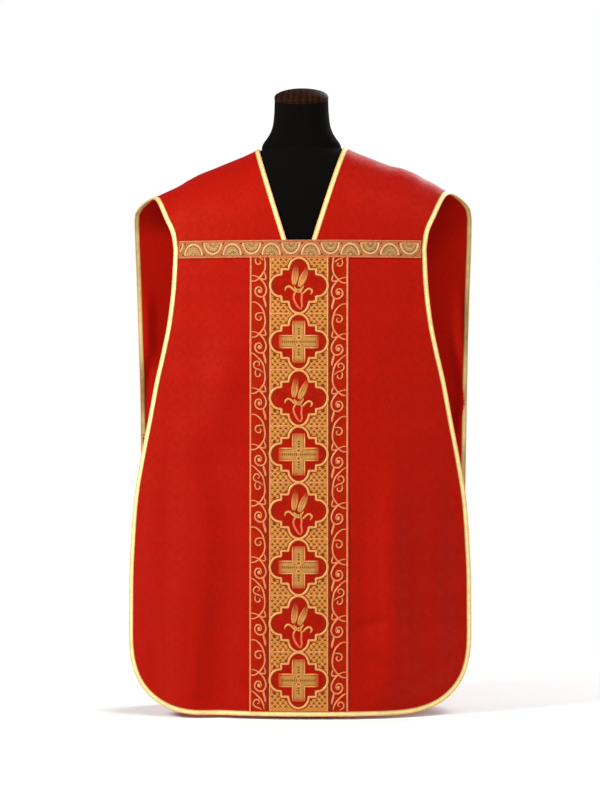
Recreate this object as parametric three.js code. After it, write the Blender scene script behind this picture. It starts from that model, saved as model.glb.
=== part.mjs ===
// A roman chasuble on a limbless dress form, in millimetres, with +Z up.
// X runs to the viewer's right, the front faces -Y, and the origin is the middle of the base's underside.
// A point of the cloth is given by x and by its travel: 0 on the ridge of the shoulders,
// below 0 down the front and above 0 down the back.
import * as THREE from "three";

// Heights above the floor and the ridge of the shoulders
const CHEST_SEAM_HEIGHT = 906;
const BACK_FALL_HEIGHT = 930;
const HEM_HEIGHT = 6;
const RIDGE_Y = 5;
const QUARTER_TRAVEL = 170; // travel from the ridge to the top of the front's or the back's fall

// Cloth, lining and trims
const CLOTH_THICKNESS = 1.5;
const LINING_THICKNESS = 1.0;
const SEAM_GAP = 0.3;
const ORPHREY_HALF_WIDTH = 95;
const ORPHREY_THICKNESS = 1.0;
const GALLOON_WIDTH = 34;
const GALLOON_LIFT = 0.6;
const GALLOON_THICKNESS = 1.2;
const BRAID_WIDTH = 10;
const BRAID_HALF_THICKNESS = 1.9;
const BRAID_SINK = 1.0; // how far the braid's middle lies under the cloth's outer face
const GALLOON_TOP = CHEST_SEAM_HEIGHT + GALLOON_WIDTH / 2;
const GALLOON_BOTTOM = CHEST_SEAM_HEIGHT - GALLOON_WIDTH / 2;

// Neck opening: a V in front, half an ellipse behind
const NECK_HALF_WIDTH = 83.5;
const V_BOTTOM_HALF_WIDTH = 24;
const NECK_BACK_DEPTH = 72;

// Ridge of the shoulders: height of the cloth over x, carried on to the middle across the neck
const SHOULDER_RIDGE = table(["x", "height"], [
  [0, 1150], [60, 1122.5], [87, 1109.5], [114, 1096.6], [143, 1084.8], [172, 1072.9], [202, 1061],
  [225, 1049], [245, 1037], [269, 1026], [291, 1016], [322, 1006], [342, 999],
]);
// The right shoulder hangs a little fuller.
const RIGHT_SHOULDER_LIFT = table(["x", "lift"], [
  [0, 0], [60, 2], [100, 4], [170, 5], [205, 10], [235, 13], [262, 12], [292, 8], [342, 7],
]);

// How far the middle of each panel hangs from the plane of the wearer, over height
const FRONT_DEPTH = table(["height", "depth"], [
  [6, 150], [250, 147], [500, 142], [760, 134], [906, 126], [960, 124],
]);
const BACK_DEPTH = table(["height", "depth"], [
  [6, 145], [250, 142], [500, 136], [760, 126], [930, 118], [960, 117],
]);
const FRONT_ROUNDING = 1605; // x squared over this is how much nearer the body the panel lies at x
const BACK_ROUNDING = 2400;

// Half width of the outline: over the shoulder by degrees from the ridge, then by height
const SHOULDER_EDGE = table(["turn", "half"], [
  [-90, 246], [-78, 250], [-60, 265], [-47, 274], [-17, 291], [0, 302], [12, 314], [25, 327], [40, 335.5],
  [60, 338], [90, 337.6],
]);
const FRONT_EDGE = table(["height", "half"], [
  [165, 334], [264, 333.4], [342, 329.9], [419, 324], [497, 311.4], [575, 296.4], [653, 281.8], [711, 268.5],
  [770, 256.9], [847, 248.7], [906, 246],
]);
const BACK_EDGE = table(["height", "half"], [
  [150, 322], [350, 325], [534, 327.6], [694, 330.6], [815, 333.7], [930, 337.6],
]);
const FRONT_CORNER = { side: 334, straight: 170, start: 165 };
const BACK_CORNER = { side: 322, straight: 160, start: 150 };
const CORNER_POWER = 2.66;

// Largest folds: a soft trough along a line, or a ridge where the depth is below 0
const FRONT_FOLDS = table(["x", "height", "toX", "toHeight", "spread", "depth"], [
  [-205, 650, -118, 290, 34, 8],
  [-140, 330, -160, 6, 34, 9],
  [-286, 600, -292, 90, 34, -7],
  [-235, 330, -240, 6, 24, -5],
  [176, 520, 186, 90, 27, -10],
  [122, 480, 130, 60, 20, 4],
  [242, 420, 236, 6, 26, 7],
  [338, 430, 336, 40, 40, 16],
]);
const BACK_FOLDS = table(["x", "height", "toX", "toHeight", "spread", "depth"], [
  [-210, 700, -170, 6, 40, 10],
  [-90, 560, -70, 6, 34, -7],
  [30, 620, 10, 6, 36, 8],
  [140, 740, 165, 6, 38, -9],
  [245, 600, 250, 6, 34, 9],
  [-300, 500, -296, 40, 34, -7],
]);

// Rows of the cloth's mesh
const FRONT_ROW_HEIGHTS = [205, 250, 300, 350, 400, 450, 500, 550, 600, 650, 705, 760, 815, 860];
const BACK_ROW_HEIGHTS = [870, 800, 725, 650, 580, 510, 440, 370, 300, 225];
const CORNER_ANGLES = [75, 60, 45, 30, 15];
const FRONT_TURNS = [-76, -66, -56, -46, -36, -26, -17, -8];
const BACK_TURNS = [10, 20, 30, 42, 54, 66, 78, 90];
const NECK_ANGLES = [15, 30, 45, 60, 75, 90];
const MIDDLE_COLUMNS = 2;
const FRONT_SIDE_COLUMNS = 8;
const NECK_COLUMNS = 3;
const BACK_SIDE_COLUMNS = 6;
const GALLOON_STEPS = 24;

// Dress form: sections of the body by height, then of the neck up to its sloping top
const FORM_BODY = table(["height", "half", "front", "back"], [
  [446, 150, 94, 96], [452, 163, 103, 104], [470, 169, 108, 110], [560, 172, 108, 112], [640, 154, 101, 101],
  [700, 140, 96, 92], [760, 143, 99, 91], [820, 152, 106, 95], [870, 161, 115, 101], [910, 169, 119.5, 107],
  [950, 180, 118, 109], [980, 196, 114, 108], [1005, 207, 112, 105], [1030, 211, 110, 100],
  [1052, 208, 92, 86], [1080, 208, 76, 73], [1107, 208, 60, 60], [1125, 208, 44, 48],
]);
const FORM_NECK = table(["height", "half", "depth", "middleY", "slope"], [
  [1000, 84, 53, 3, 0], [1080, 83, 53, 3, 0], [1107, 79, 53, 3, 0], [1113, 78.6, 53.5, 3, 0],
  [1120, 76.2, 54, 3, 0], [1132, 68, 54, 2.5, 1.5], [1144, 61, 54, 2, 3], [1156, 57, 54, 1, 5.5],
  [1168, 55.2, 53.6, 0, 8.5], [1188, 53.6, 53.3, -2, 13.5], [1207, 53, 53, -4, 17],
]);
const FORM_RING_HEIGHTS = [
  446, 448.5, 452, 460, 475, 510, 560, 600, 640, 700, 760, 820, 870, 910, 945, 975, 1000, 1022, 1040, 1052, 1066,
  1080, 1091, 1099, 1104, 1106.5, 1109.5, 1113, 1120, 1126, 1132, 1138, 1144, 1156, 1168, 1188, 1207,
];
const NECK_START_HEIGHT = 1045;
const NECK_ALONE_HEIGHT = 1121;
const FORM_POINTS = 26;
const FORM_MARGIN = 4.4; // from the cloth's outer face to the form
const BODY_POWER = 2.3;
const CAP_RADIUS = 53.5;
const CAP_RISE = 20;
const POLE_RADIUS = 12.5;
const BASE_RADIUS = 125;
const BASE_THICKNESS = 12;
const BASE_CHAMFER = 3;

const COLOURS = {
  damask: 0xb81f12, lining: 0x96170c, orphrey: 0xb4502c, galloon: 0xc9a27c, braid: 0xe0ab62,
  jersey: 0x110c09, wood: 0x33201a, steel: 0x6c6c6e,
};

// Tables and small sums
function table(columns, rows) {
  return rows.map((row) => Object.fromEntries(columns.map((name, i) => [name, row[i]])));
}

// Reads a column of a table between its rows, smoothly and with no overshoot.
function read(rows, key, at, column) {
  const last = rows.length - 1;
  if (at <= rows[0][key]) return rows[0][column];
  if (at >= rows[last][key]) return rows[last][column];
  const slope = (i) => (rows[i + 1][column] - rows[i][column]) / (rows[i + 1][key] - rows[i][key]);
  const tangent = (i) => {
    if (i === 0) return slope(0);
    if (i === last) return slope(last - 1);
    const [before, after] = [slope(i - 1), slope(i)];
    return before * after <= 0 ? 0 : (2 * before * after) / (before + after);
  };
  const i = rows.findIndex((row) => at < row[key]) - 1;
  const span = rows[i + 1][key] - rows[i][key];
  const u = (at - rows[i][key]) / span;
  const bend = 3 * u * u - 2 * u * u * u;
  return (
    rows[i][column] * (1 - bend) +
    rows[i + 1][column] * bend +
    span * (tangent(i) * (u - 2 * u * u + u * u * u) + tangent(i + 1) * (u * u * u - u * u))
  );
}

const radians = THREE.MathUtils.degToRad;
const mix = THREE.MathUtils.lerp;
const steps = (from, to, count) => Array.from({ length: count + 1 }, (_, i) => mix(from, to, i / count));

// Folds: how far they draw a point of the panel in
function foldDepth(folds, x, height) {
  return folds.reduce((sum, fold) => {
    const run = { x: fold.toX - fold.x, z: fold.toHeight - fold.height };
    const length = Math.hypot(run.x, run.z);
    const along = ((x - fold.x) * run.x + (height - fold.height) * run.z) / (length * length);
    const off = ((x - fold.x) * run.z - (height - fold.height) * run.x) / length;
    const start = THREE.MathUtils.smoothstep(along, -0.1, 0.45);
    const end = fold.toHeight > 2 * HEM_HEIGHT ? 1 - THREE.MathUtils.smoothstep(along, 0.75, 1.15) : 1;
    return sum + fold.depth * start * end * Math.exp(-((off / fold.spread) ** 2));
  }, 0);
}

// Drape of the cloth
const fallTop = (travel) => (travel < 0 ? CHEST_SEAM_HEIGHT : BACK_FALL_HEIGHT);
const facing = (travel) => (travel < 0 ? -1 : 1);

function ridgeHeight(x) {
  return read(SHOULDER_RIDGE, "x", Math.abs(x), "height") + read(RIGHT_SHOULDER_LIFT, "x", x, "lift");
}

function fallDepth(x, height, side) {
  const [depths, rounding, folds] = side < 0
    ? [FRONT_DEPTH, FRONT_ROUNDING, FRONT_FOLDS]
    : [BACK_DEPTH, BACK_ROUNDING, BACK_FOLDS];
  return read(depths, "height", height, "depth") - (x * x) / rounding - foldDepth(folds, x, height);
}

function drape(x, travel) {
  const side = facing(travel);
  const top = fallTop(travel);
  const down = Math.abs(travel) - QUARTER_TRAVEL;
  if (down >= 0) return new THREE.Vector3(x, side * fallDepth(x, top - down, side), top - down);
  const turn = ((Math.abs(travel) / QUARTER_TRAVEL) * Math.PI) / 2;
  const ridge = ridgeHeight(x);
  const reach = fallDepth(x, top, side) - side * RIDGE_Y;
  return new THREE.Vector3(x, RIDGE_Y + side * reach * Math.sin(turn), top + (ridge - top) * Math.cos(turn));
}

const SMALL_STEP = 0.5;
function clothSlopes(point) {
  const across = drape(point.x + SMALL_STEP, point.travel).sub(drape(point.x - SMALL_STEP, point.travel));
  const down = drape(point.x, point.travel + SMALL_STEP).sub(drape(point.x, point.travel - SMALL_STEP));
  return { across: across.divideScalar(2 * SMALL_STEP), down: down.divideScalar(2 * SMALL_STEP) };
}

// The cloth's outward normal: travel runs back over the ridge, so this faces up there.
function clothNormal(point) {
  const { across, down } = clothSlopes(point);
  return across.cross(down).normalize();
}

// A point of the cloth, moved out from its face by an offset
function clothPoint(point, offset = 0) {
  return drape(point.x, point.travel).addScaledVector(clothNormal(point), offset);
}

// Degrees from the ridge down to a height of the front's arch
function frontTurn(x, height) {
  const rise = (height - CHEST_SEAM_HEIGHT) / (ridgeHeight(x) - CHEST_SEAM_HEIGHT);
  return THREE.MathUtils.radToDeg(Math.acos(rise));
}

const turnTravel = (degrees) => (degrees / 90) * QUARTER_TRAVEL;
const heightTravel = (height, side) => side * (QUARTER_TRAVEL + fallTop(side) - height);
const mirrored = (point) => point && { x: -point.x, travel: point.travel };

// Moves a station of an outline across the cloth, to the left of the outline's way, by a distance.
function inset(stations, index, distance, closed) {
  const count = stations.length;
  const neighbour = (step) => {
    const i = index + step;
    return stations[closed ? (i + count) % count : Math.min(Math.max(i, 0), count - 1)];
  };
  const [before, at, after] = [neighbour(-1), stations[index], neighbour(1)];
  const way = drape(after.x, after.travel).sub(drape(before.x, before.travel)).normalize();
  const move = clothNormal(at).cross(way).normalize().multiplyScalar(distance);
  const { across, down } = clothSlopes(at);
  const [aa, ad, dd] = [across.dot(across), across.dot(down), down.dot(down)];
  const [ma, md] = [move.dot(across), move.dot(down)];
  const scale = aa * dd - ad * ad;
  return { x: at.x + (ma * dd - md * ad) / scale, travel: at.travel + (md * aa - ma * ad) / scale };
}

// Outline of the garment, from the middle of the front's hem over the right shoulder to the back's
function cornerStation(corner, side, degrees) {
  const power = 2 / CORNER_POWER;
  const x = corner.straight + (corner.side - corner.straight) * Math.cos(radians(degrees)) ** power;
  const height = corner.start - (corner.start - HEM_HEIGHT) * Math.sin(radians(degrees)) ** power;
  return { x, travel: heightTravel(height, side) };
}

function sideStation(height, side) {
  const edge = side < 0 ? FRONT_EDGE : BACK_EDGE;
  return { x: read(edge, "height", height, "half"), travel: heightTravel(height, side) };
}

const shoulderStation = (turn) => ({ x: read(SHOULDER_EDGE, "turn", turn, "half"), travel: turnTravel(turn) });
const hemStation = (x, side) => ({ x, travel: heightTravel(HEM_HEIGHT, side) });

// The turn at which the neck braid ends, just above the galloon
const GALLOON_TURN = -frontTurn(V_BOTTOM_HALF_WIDTH + 1.2 * BRAID_WIDTH, GALLOON_TOP + SEAM_GAP);
const YOKE_TURNS = [-90, GALLOON_TURN, ...FRONT_TURNS, 0];
const frontHem = steps(0, ORPHREY_HALF_WIDTH, MIDDLE_COLUMNS).concat(
  steps(ORPHREY_HALF_WIDTH, FRONT_CORNER.straight, FRONT_SIDE_COLUMNS).slice(1, -1),
);
const backHem = steps(0, ORPHREY_HALF_WIDTH, NECK_COLUMNS).concat(
  steps(ORPHREY_HALF_WIDTH, BACK_CORNER.straight, BACK_SIDE_COLUMNS).slice(1, -1),
);

const frontSide = [
  hemStation(FRONT_CORNER.straight, -1),
  ...CORNER_ANGLES.map((angle) => cornerStation(FRONT_CORNER, -1, angle)),
  sideStation(FRONT_CORNER.start, -1),
  ...FRONT_ROW_HEIGHTS.map((height) => sideStation(height, -1)),
  sideStation(GALLOON_BOTTOM - SEAM_GAP, -1),
];
const shoulder = [...YOKE_TURNS, ...BACK_TURNS].map(shoulderStation);
const backSide = [
  ...BACK_ROW_HEIGHTS.map((height) => sideStation(height, 1)),
  sideStation(BACK_CORNER.start, 1),
  ...[...CORNER_ANGLES].reverse().map((angle) => cornerStation(BACK_CORNER, 1, angle)),
  hemStation(BACK_CORNER.straight, 1),
];
const rightOutline = [
  ...frontHem.map((x) => hemStation(x, -1)),
  ...frontSide,
  ...shoulder,
  ...backSide,
  ...[...backHem].reverse().map((x) => hemStation(x, 1)),
];
const outline = [...rightOutline, ...rightOutline.slice(1, -1).reverse().map(mirrored)];
const CLOTH_INSET = BRAID_WIDTH + SEAM_GAP;

// Where the cloth ends under the braid: each side in turn, both given as if on the right
const rightEdge = rightOutline.map((_, i) => inset(outline, i, CLOTH_INSET, true));
const leftEdge = rightOutline.map((_, i) => {
  const index = (outline.length - i) % outline.length;
  return mirrored(inset(outline, index, CLOTH_INSET, true));
});

// Neck opening, from the left end of the V round the back to the right end
function vStation(turn) {
  const slope = (NECK_HALF_WIDTH - V_BOTTOM_HALF_WIDTH) / (ridgeHeight(NECK_HALF_WIDTH) - GALLOON_TOP);
  let x = NECK_HALF_WIDTH;
  for (let i = 0; i < 12; i++) {
    const height = CHEST_SEAM_HEIGHT + (ridgeHeight(x) - CHEST_SEAM_HEIGHT) * Math.cos(radians(turn));
    x = V_BOTTOM_HALF_WIDTH + (height - GALLOON_TOP) * slope;
  }
  return { x, travel: turnTravel(turn) };
}

function backNeckStation(angle) {
  const x = NECK_HALF_WIDTH * Math.cos(radians(angle));
  const reach = fallDepth(x, BACK_FALL_HEIGHT, 1) - RIDGE_Y;
  const turn = Math.asin((NECK_BACK_DEPTH * Math.sin(radians(angle))) / reach);
  return { x, travel: turnTravel(THREE.MathUtils.radToDeg(turn)) };
}

const rightNeck = [...NECK_ANGLES.map(backNeckStation).reverse(), ...[...YOKE_TURNS].reverse().map(vStation)];
const neckline = [...rightNeck.slice(1).reverse().map(mirrored), ...rightNeck];
const neckMiddle = rightNeck.length - 1;
const rightNeckEdge = rightNeck.map((_, i) => inset(neckline, neckMiddle + i, CLOTH_INSET, false));
const leftNeckEdge = rightNeck.map((_, i) => mirrored(inset(neckline, neckMiddle - i, CLOTH_INSET, false)));

// Rows of points, from the middle of the garment to its edge
function spread(from, to, count) {
  return steps(0, 1, count).map((u) => ({ x: mix(from.x, to.x, u), travel: mix(from.travel, to.travel, u) }));
}

function frontRows(clothEdge) {
  const edges = clothEdge.slice(frontHem.length, frontHem.length + frontSide.length).reverse();
  const top = { x: clothEdge[frontHem.length + frontSide.length].x, travel: -QUARTER_TRAVEL - SEAM_GAP };
  return [top, ...edges].map((edge) => {
    const inner = steps(0, ORPHREY_HALF_WIDTH, MIDDLE_COLUMNS).map((x) => ({ x, travel: edge.travel }));
    return [...inner, ...spread(inner[MIDDLE_COLUMNS], edge, FRONT_SIDE_COLUMNS).slice(1)];
  });
}

// The back's rows run from the chest seam over the shoulder, and leave out the neck opening.
function backRows(clothEdge, neckEdge) {
  const firstShoulder = frontHem.length + frontSide.length;
  const edges = clothEdge.slice(firstShoulder, firstShoulder + shoulder.length + backSide.length);
  const neckRow = YOKE_TURNS.length + NECK_COLUMNS - 1; // the row that runs along the back of the neck
  const settledRow = neckRow + 3; // the row where the columns have straightened
  const besideNeck = [...neckEdge].reverse(); // from the V's end to the middle of the back
  const alongNeck = besideNeck.slice(neckRow).reverse();
  const empty = new Array(NECK_COLUMNS).fill(null);
  const columns = steps(0, ORPHREY_HALF_WIDTH, NECK_COLUMNS);
  return edges.map((edge, row) => {
    if (row === 0) {
      const seam = spread(besideNeck[0], edge, BACK_SIDE_COLUMNS);
      return [...empty, ...seam.map(({ x }) => ({ x, travel: -QUARTER_TRAVEL }))];
    }
    if (row < neckRow) return [...empty, ...spread(besideNeck[row], edge, BACK_SIDE_COLUMNS)];
    const settled = Math.min((row - neckRow) / (settledRow - neckRow), 1);
    const target = settled < 1 ? edges[settledRow].travel : edge.travel;
    const inner = columns.map((x, i) => ({
      x: mix(alongNeck[i].x, x, settled),
      travel: mix(alongNeck[i].travel, target, settled),
    }));
    return [...inner, ...spread(inner[NECK_COLUMNS], edge, BACK_SIDE_COLUMNS).slice(1)];
  });
}

const bothSides = (right, left) => right.map((row, i) => [...left[i].slice(1).reverse().map(mirrored), ...row]);

// Meshes
function solid(name, colour, roughness, points, triangles, metalness = 0) {
  const six = ([a, b, c]) => points[a].dot(points[b].clone().cross(points[c]));
  const volume = triangles.reduce((sum, triangle) => sum + six(triangle), 0);
  const faces = volume < 0 ? triangles.map(([a, b, c]) => [a, c, b]) : triangles;
  const geometry = new THREE.BufferGeometry();
  geometry.setAttribute("position", new THREE.Float32BufferAttribute(points.flatMap((p) => p.toArray()), 3));
  geometry.setIndex(faces.flat());
  geometry.computeVertexNormals();
  return named(name, colour, roughness, geometry, metalness);
}

function named(name, colour, roughness, geometry, metalness = 0) {
  const material = new THREE.MeshStandardMaterial({ color: colour, roughness, metalness });
  const mesh = new THREE.Mesh(geometry, material);
  mesh.name = name;
  return mesh;
}

// A wall of cloth over a grid of points, between two offsets from the cloth's outer face
function wall(name, colour, rows, outer, inner) {
  const points = [];
  const index = rows.map((row) => row.map((point) => point && points.push(clothPoint(point, outer)) - 1));
  const layer = points.length;
  rows.forEach((row) => row.forEach((point) => point && points.push(clothPoint(point, inner))));
  const triangles = [];
  const edges = new Map();
  rows.slice(1).forEach((row, r) => {
    row.slice(1).forEach((_, c) => {
      const corners = [index[r][c], index[r][c + 1], index[r + 1][c + 1], index[r + 1][c]];
      if (corners.some((corner) => corner === null)) return;
      const [i, j, k, l] = corners;
      const halves = c < (row.length - 1) / 2 ? [[i, j, k], [i, k, l]] : [[i, j, l], [j, k, l]];
      halves.forEach(([p, q, s]) => triangles.push([p, q, s], [p + layer, s + layer, q + layer]));
      corners.forEach((from, n) => {
        const to = corners[(n + 1) % 4];
        if (!edges.delete(`${to},${from}`)) edges.set(`${from},${to}`, [from, to]);
      });
    });
  });
  for (const [from, to] of edges.values()) {
    triangles.push([from, from + layer, to + layer], [from, to + layer, to]);
  }
  return solid(name, colour, 0.7, points, triangles);
}

// Rings of points joined into a body, closed on itself or with flat ends
function rings(name, colour, roughness, sections, closed) {
  const size = sections[0].length;
  const points = sections.flat();
  const triangles = [];
  const joints = closed ? sections.length : sections.length - 1;
  for (let r = 0; r < joints; r++) {
    const next = (r + 1) % sections.length;
    for (let i = 0; i < size; i++) {
      const [a, b] = [r * size + i, r * size + ((i + 1) % size)];
      const [c, d] = [next * size + ((i + 1) % size), next * size + i];
      triangles.push([a, b, c], [a, c, d]);
    }
  }
  if (!closed) {
    const last = (sections.length - 1) * size;
    for (let i = 1; i < size - 1; i++) triangles.push([0, i + 1, i], [last, last + i, last + i + 1]);
  }
  return solid(name, colour, roughness, points, triangles);
}

// Braid: a flat ribbon with soft edges, round the edge of the cloth
const BRAID_SECTION = [[1, 0.4], [0.8, 1], [-0.8, 1], [-1, 0.4], [-1, -0.4], [-0.8, -1], [0.8, -1], [1, -0.4]];

function braid(name, stations, closed) {
  const sections = stations.map((station, i) => {
    const inside = inset(stations, i, BRAID_WIDTH, closed);
    if (!closed && i % (stations.length - 1) === 0) inside.travel = station.travel; // a level end
    const [free, sewn] = [clothPoint(station), clothPoint(inside)];
    const normal = clothNormal(station).add(clothNormal(inside)).normalize();
    const middle = free.clone().add(sewn).multiplyScalar(0.5).addScaledVector(normal, -BRAID_SINK);
    const across = free.clone().sub(sewn).multiplyScalar(0.5);
    return BRAID_SECTION.map(([u, v]) =>
      middle.clone().addScaledVector(across, u).addScaledVector(normal, v * BRAID_HALF_THICKNESS),
    );
  });
  return rings(name, COLOURS.braid, 0.5, sections, closed);
}

// The galloon runs level round the chest, over the seam.
function galloonPoint(x, height) {
  if (height <= CHEST_SEAM_HEIGHT) return { x, travel: heightTravel(height, -1) };
  return { x, travel: -turnTravel(frontTurn(x, height)) };
}

function chestGalloon() {
  const top = frontHem.length + frontSide.length - 1;
  const reach = Math.min(rightEdge[top].x, leftEdge[top].x) - SEAM_GAP;
  const rows = [GALLOON_TOP, CHEST_SEAM_HEIGHT, GALLOON_BOTTOM].map((height) =>
    steps(-reach, reach, GALLOON_STEPS).map((x) => galloonPoint(x, height)),
  );
  return wall("chest_galloon", COLOURS.galloon, rows, GALLOON_LIFT + GALLOON_THICKNESS, GALLOON_LIFT);
}

// Dress form: each section reaches out to its own size or to just inside the cloth.
function insideCloth(x, y, height) {
  const side = y < RIDGE_Y ? -1 : 1;
  const top = side < 0 ? CHEST_SEAM_HEIGHT : BACK_FALL_HEIGHT;
  const reach = fallDepth(x, Math.min(height, top), side) - FORM_MARGIN;
  if (height <= top) return side * y <= reach;
  const rise = (height - top) / (ridgeHeight(x) - FORM_MARGIN - top);
  return rise < 1 && rise * rise + ((y - RIDGE_Y) / (reach - side * RIDGE_Y)) ** 2 <= 1;
}

function bodyReach(height, way) {
  const [half, front, back] = ["half", "front", "back"].map((name) => read(FORM_BODY, "height", height, name));
  const depth = way.y < 0 ? front + RIDGE_Y : back - RIDGE_Y;
  const round = (Math.abs(way.x) / half) ** BODY_POWER + (Math.abs(way.y) / depth) ** BODY_POWER;
  const size = round ** (-1 / BODY_POWER);
  let [near, far] = [0, size];
  if (insideCloth(way.x * size, RIDGE_Y + way.y * size, height)) return size;
  for (let i = 0; i < 30; i++) {
    const middle = (near + far) / 2;
    if (insideCloth(way.x * middle, RIDGE_Y + way.y * middle, height)) near = middle;
    else far = middle;
  }
  return near;
}

function formRing(height) {
  const neck = Object.fromEntries(
    ["half", "depth", "middleY", "slope"].map((name) => [name, read(FORM_NECK, "height", height, name)]),
  );
  return Array.from({ length: FORM_POINTS }, (_, i) => {
    const angle = (2 * Math.PI * i) / FORM_POINTS;
    const onNeck = { x: neck.half * Math.cos(angle), out: neck.depth * Math.sin(angle) };
    const slope = radians(neck.slope);
    const neckPoint = new THREE.Vector3(
      onNeck.x,
      neck.middleY + onNeck.out * Math.cos(slope),
      height + onNeck.out * Math.sin(slope),
    );
    if (height > NECK_ALONE_HEIGHT) return neckPoint;
    const way = new THREE.Vector2(neckPoint.x, neckPoint.y - RIDGE_Y);
    const neckReach = height > NECK_START_HEIGHT ? way.length() : 0;
    way.normalize();
    const reach = Math.max(bodyReach(height, way), neckReach);
    return new THREE.Vector3(way.x * reach, RIDGE_Y + way.y * reach, height);
  });
}

function formNeckCap() {
  const rim = 4;
  const profile = [[0, 0], [CAP_RADIUS - 1, 0], [CAP_RADIUS, 1], [CAP_RADIUS, rim]];
  for (const degrees of [20, 38, 54, 68, 80]) {
    const angle = radians(degrees);
    profile.push([CAP_RADIUS * Math.cos(angle), rim + (CAP_RISE - rim) * Math.sin(angle)]);
  }
  profile.push([0, CAP_RISE]);
  const top = FORM_NECK[FORM_NECK.length - 1];
  const geometry = new THREE.LatheGeometry(profile.map(([r, z]) => new THREE.Vector2(r, z)), 32);
  const cap = named("form_neck_cap", COLOURS.wood, 0.45, geometry);
  const lean = radians(top.slope);
  cap.rotation.x = Math.PI / 2 + lean;
  cap.position.set(0, top.middleY - SEAM_GAP * Math.sin(lean), top.height + SEAM_GAP * Math.cos(lean));
  return cap;
}

function turned(name, colour, roughness, profile, segments, height, metalness) {
  const points = profile.map(([r, z]) => new THREE.Vector2(r, z));
  const piece = named(name, colour, roughness, new THREE.LatheGeometry(points, segments), metalness);
  piece.rotation.x = Math.PI / 2;
  piece.position.z = height;
  return piece;
}

function formPole() {
  const length = FORM_RING_HEIGHTS[0] - BASE_THICKNESS - 2 * SEAM_GAP;
  const profile = [[0, 0], [POLE_RADIUS, 0], [POLE_RADIUS, length], [0, length]];
  return turned("form_pole", COLOURS.steel, 0.4, profile, 24, BASE_THICKNESS + SEAM_GAP, 0.8);
}

function formBase() {
  const profile = [
    [0, 0], [BASE_RADIUS, 0], [BASE_RADIUS, BASE_THICKNESS - BASE_CHAMFER],
    [BASE_RADIUS - BASE_CHAMFER, BASE_THICKNESS], [0, BASE_THICKNESS],
  ];
  return turned("form_base", COLOURS.steel, 0.4, profile, 48, 0, 0.8);
}

// The part
const front = bothSides(frontRows(rightEdge), frontRows(leftEdge));
const back = bothSides(backRows(rightEdge, rightNeckEdge), backRows(leftEdge, leftNeckEdge));
const middle = MIDDLE_COLUMNS + FRONT_SIDE_COLUMNS;
const orphrey = front.slice(1).map((row) => row.slice(middle - MIDDLE_COLUMNS, middle + MIDDLE_COLUMNS + 1));
const liningOuter = -CLOTH_THICKNESS - SEAM_GAP;

const garment = new THREE.Group();
garment.add(
  wall("front_panel", COLOURS.damask, front, 0, -CLOTH_THICKNESS),
  wall("back_panel", COLOURS.damask, back, 0, -CLOTH_THICKNESS),
  wall("back_lining", COLOURS.lining, back, liningOuter, liningOuter - LINING_THICKNESS),
  wall("front_orphrey", COLOURS.orphrey, orphrey, SEAM_GAP + ORPHREY_THICKNESS, SEAM_GAP),
  chestGalloon(),
  braid("edge_braid", outline, true),
  braid("neck_braid", neckline.slice(1, -1), false),
);

const form = new THREE.Group();
form.add(
  rings("form_torso", COLOURS.jersey, 0.9, FORM_RING_HEIGHTS.map(formRing), false),
  formNeckCap(),
  formPole(),
  formBase(),
);

const group = new THREE.Group();
group.add(garment, form);
export default group;
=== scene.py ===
"""A roman chasuble of red damask with a woven orphrey and gold braid, hung on a black dress form.

Sizes in the tables are millimetres. A point of the cloth is given by x and by its travel: 0 on the ridge
of the shoulders, below 0 down the front and above 0 down the back.
"""

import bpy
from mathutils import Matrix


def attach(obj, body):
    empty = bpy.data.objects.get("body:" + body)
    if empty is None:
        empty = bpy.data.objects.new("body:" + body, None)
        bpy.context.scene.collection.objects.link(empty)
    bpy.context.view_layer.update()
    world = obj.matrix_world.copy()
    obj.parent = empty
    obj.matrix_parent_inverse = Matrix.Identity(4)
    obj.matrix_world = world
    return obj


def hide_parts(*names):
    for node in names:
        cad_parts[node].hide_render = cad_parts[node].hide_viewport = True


bl_info = {
    "name": "Roman chasuble on a dress form",
    "version": (1, 0, 0),
    "blender": (4, 5, 0),
    "location": "View3D > Sidebar > Chasuble",
    "description": "Builds the cloth, its woven trims, the dress form and the stage",
    "category": "Add Mesh",
}

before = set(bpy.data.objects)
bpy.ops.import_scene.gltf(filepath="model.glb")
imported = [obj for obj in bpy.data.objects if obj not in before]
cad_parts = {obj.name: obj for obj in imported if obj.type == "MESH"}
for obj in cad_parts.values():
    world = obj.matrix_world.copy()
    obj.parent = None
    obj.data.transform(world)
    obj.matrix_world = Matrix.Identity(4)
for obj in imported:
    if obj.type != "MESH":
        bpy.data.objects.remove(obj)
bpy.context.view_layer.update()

import math

import bmesh
import bpy
import numpy as np
from mathutils import Vector

MM = 0.001
BODY = "root"

# Drape of the cloth, the same as that of the solids
SEAM_HEIGHT = 906.0
BACK_TOP = 930.0
HEM_HEIGHT = 6.0
RIDGE_Y = 5.0
QUARTER = 170.0  # travel from the ridge to the top of a fall
ARCH_LENGTH = 235.0  # cloth that really lies along that quarter
FRONT_ROUNDING = 1605.0
BACK_ROUNDING = 2400.0
BRAID_WIDTH = 10.0
GALLOON_WIDTH = 34.0
GALLOON_TOP = SEAM_HEIGHT + GALLOON_WIDTH / 2
GALLOON_BOTTOM = SEAM_HEIGHT - GALLOON_WIDTH / 2
NECK_HALF = 83.5
V_BOTTOM_HALF = 24.0
NECK_BACK_DEPTH = 72.0
NECK_ROUNDING = 18.0  # how far from the middle the ridge is rounded off
NECK_BRAID_START = -87.0  # degrees from the ridge, just above the galloon

# Rows of (x, height)
SHOULDER_RIDGE = [
    (0, 1150), (60, 1122.5), (87, 1109.5), (114, 1096.6), (143, 1084.8), (172, 1072.9), (202, 1061),
    (225, 1049), (245, 1037), (269, 1026), (291, 1016), (322, 1006), (342, 999),
]
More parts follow.
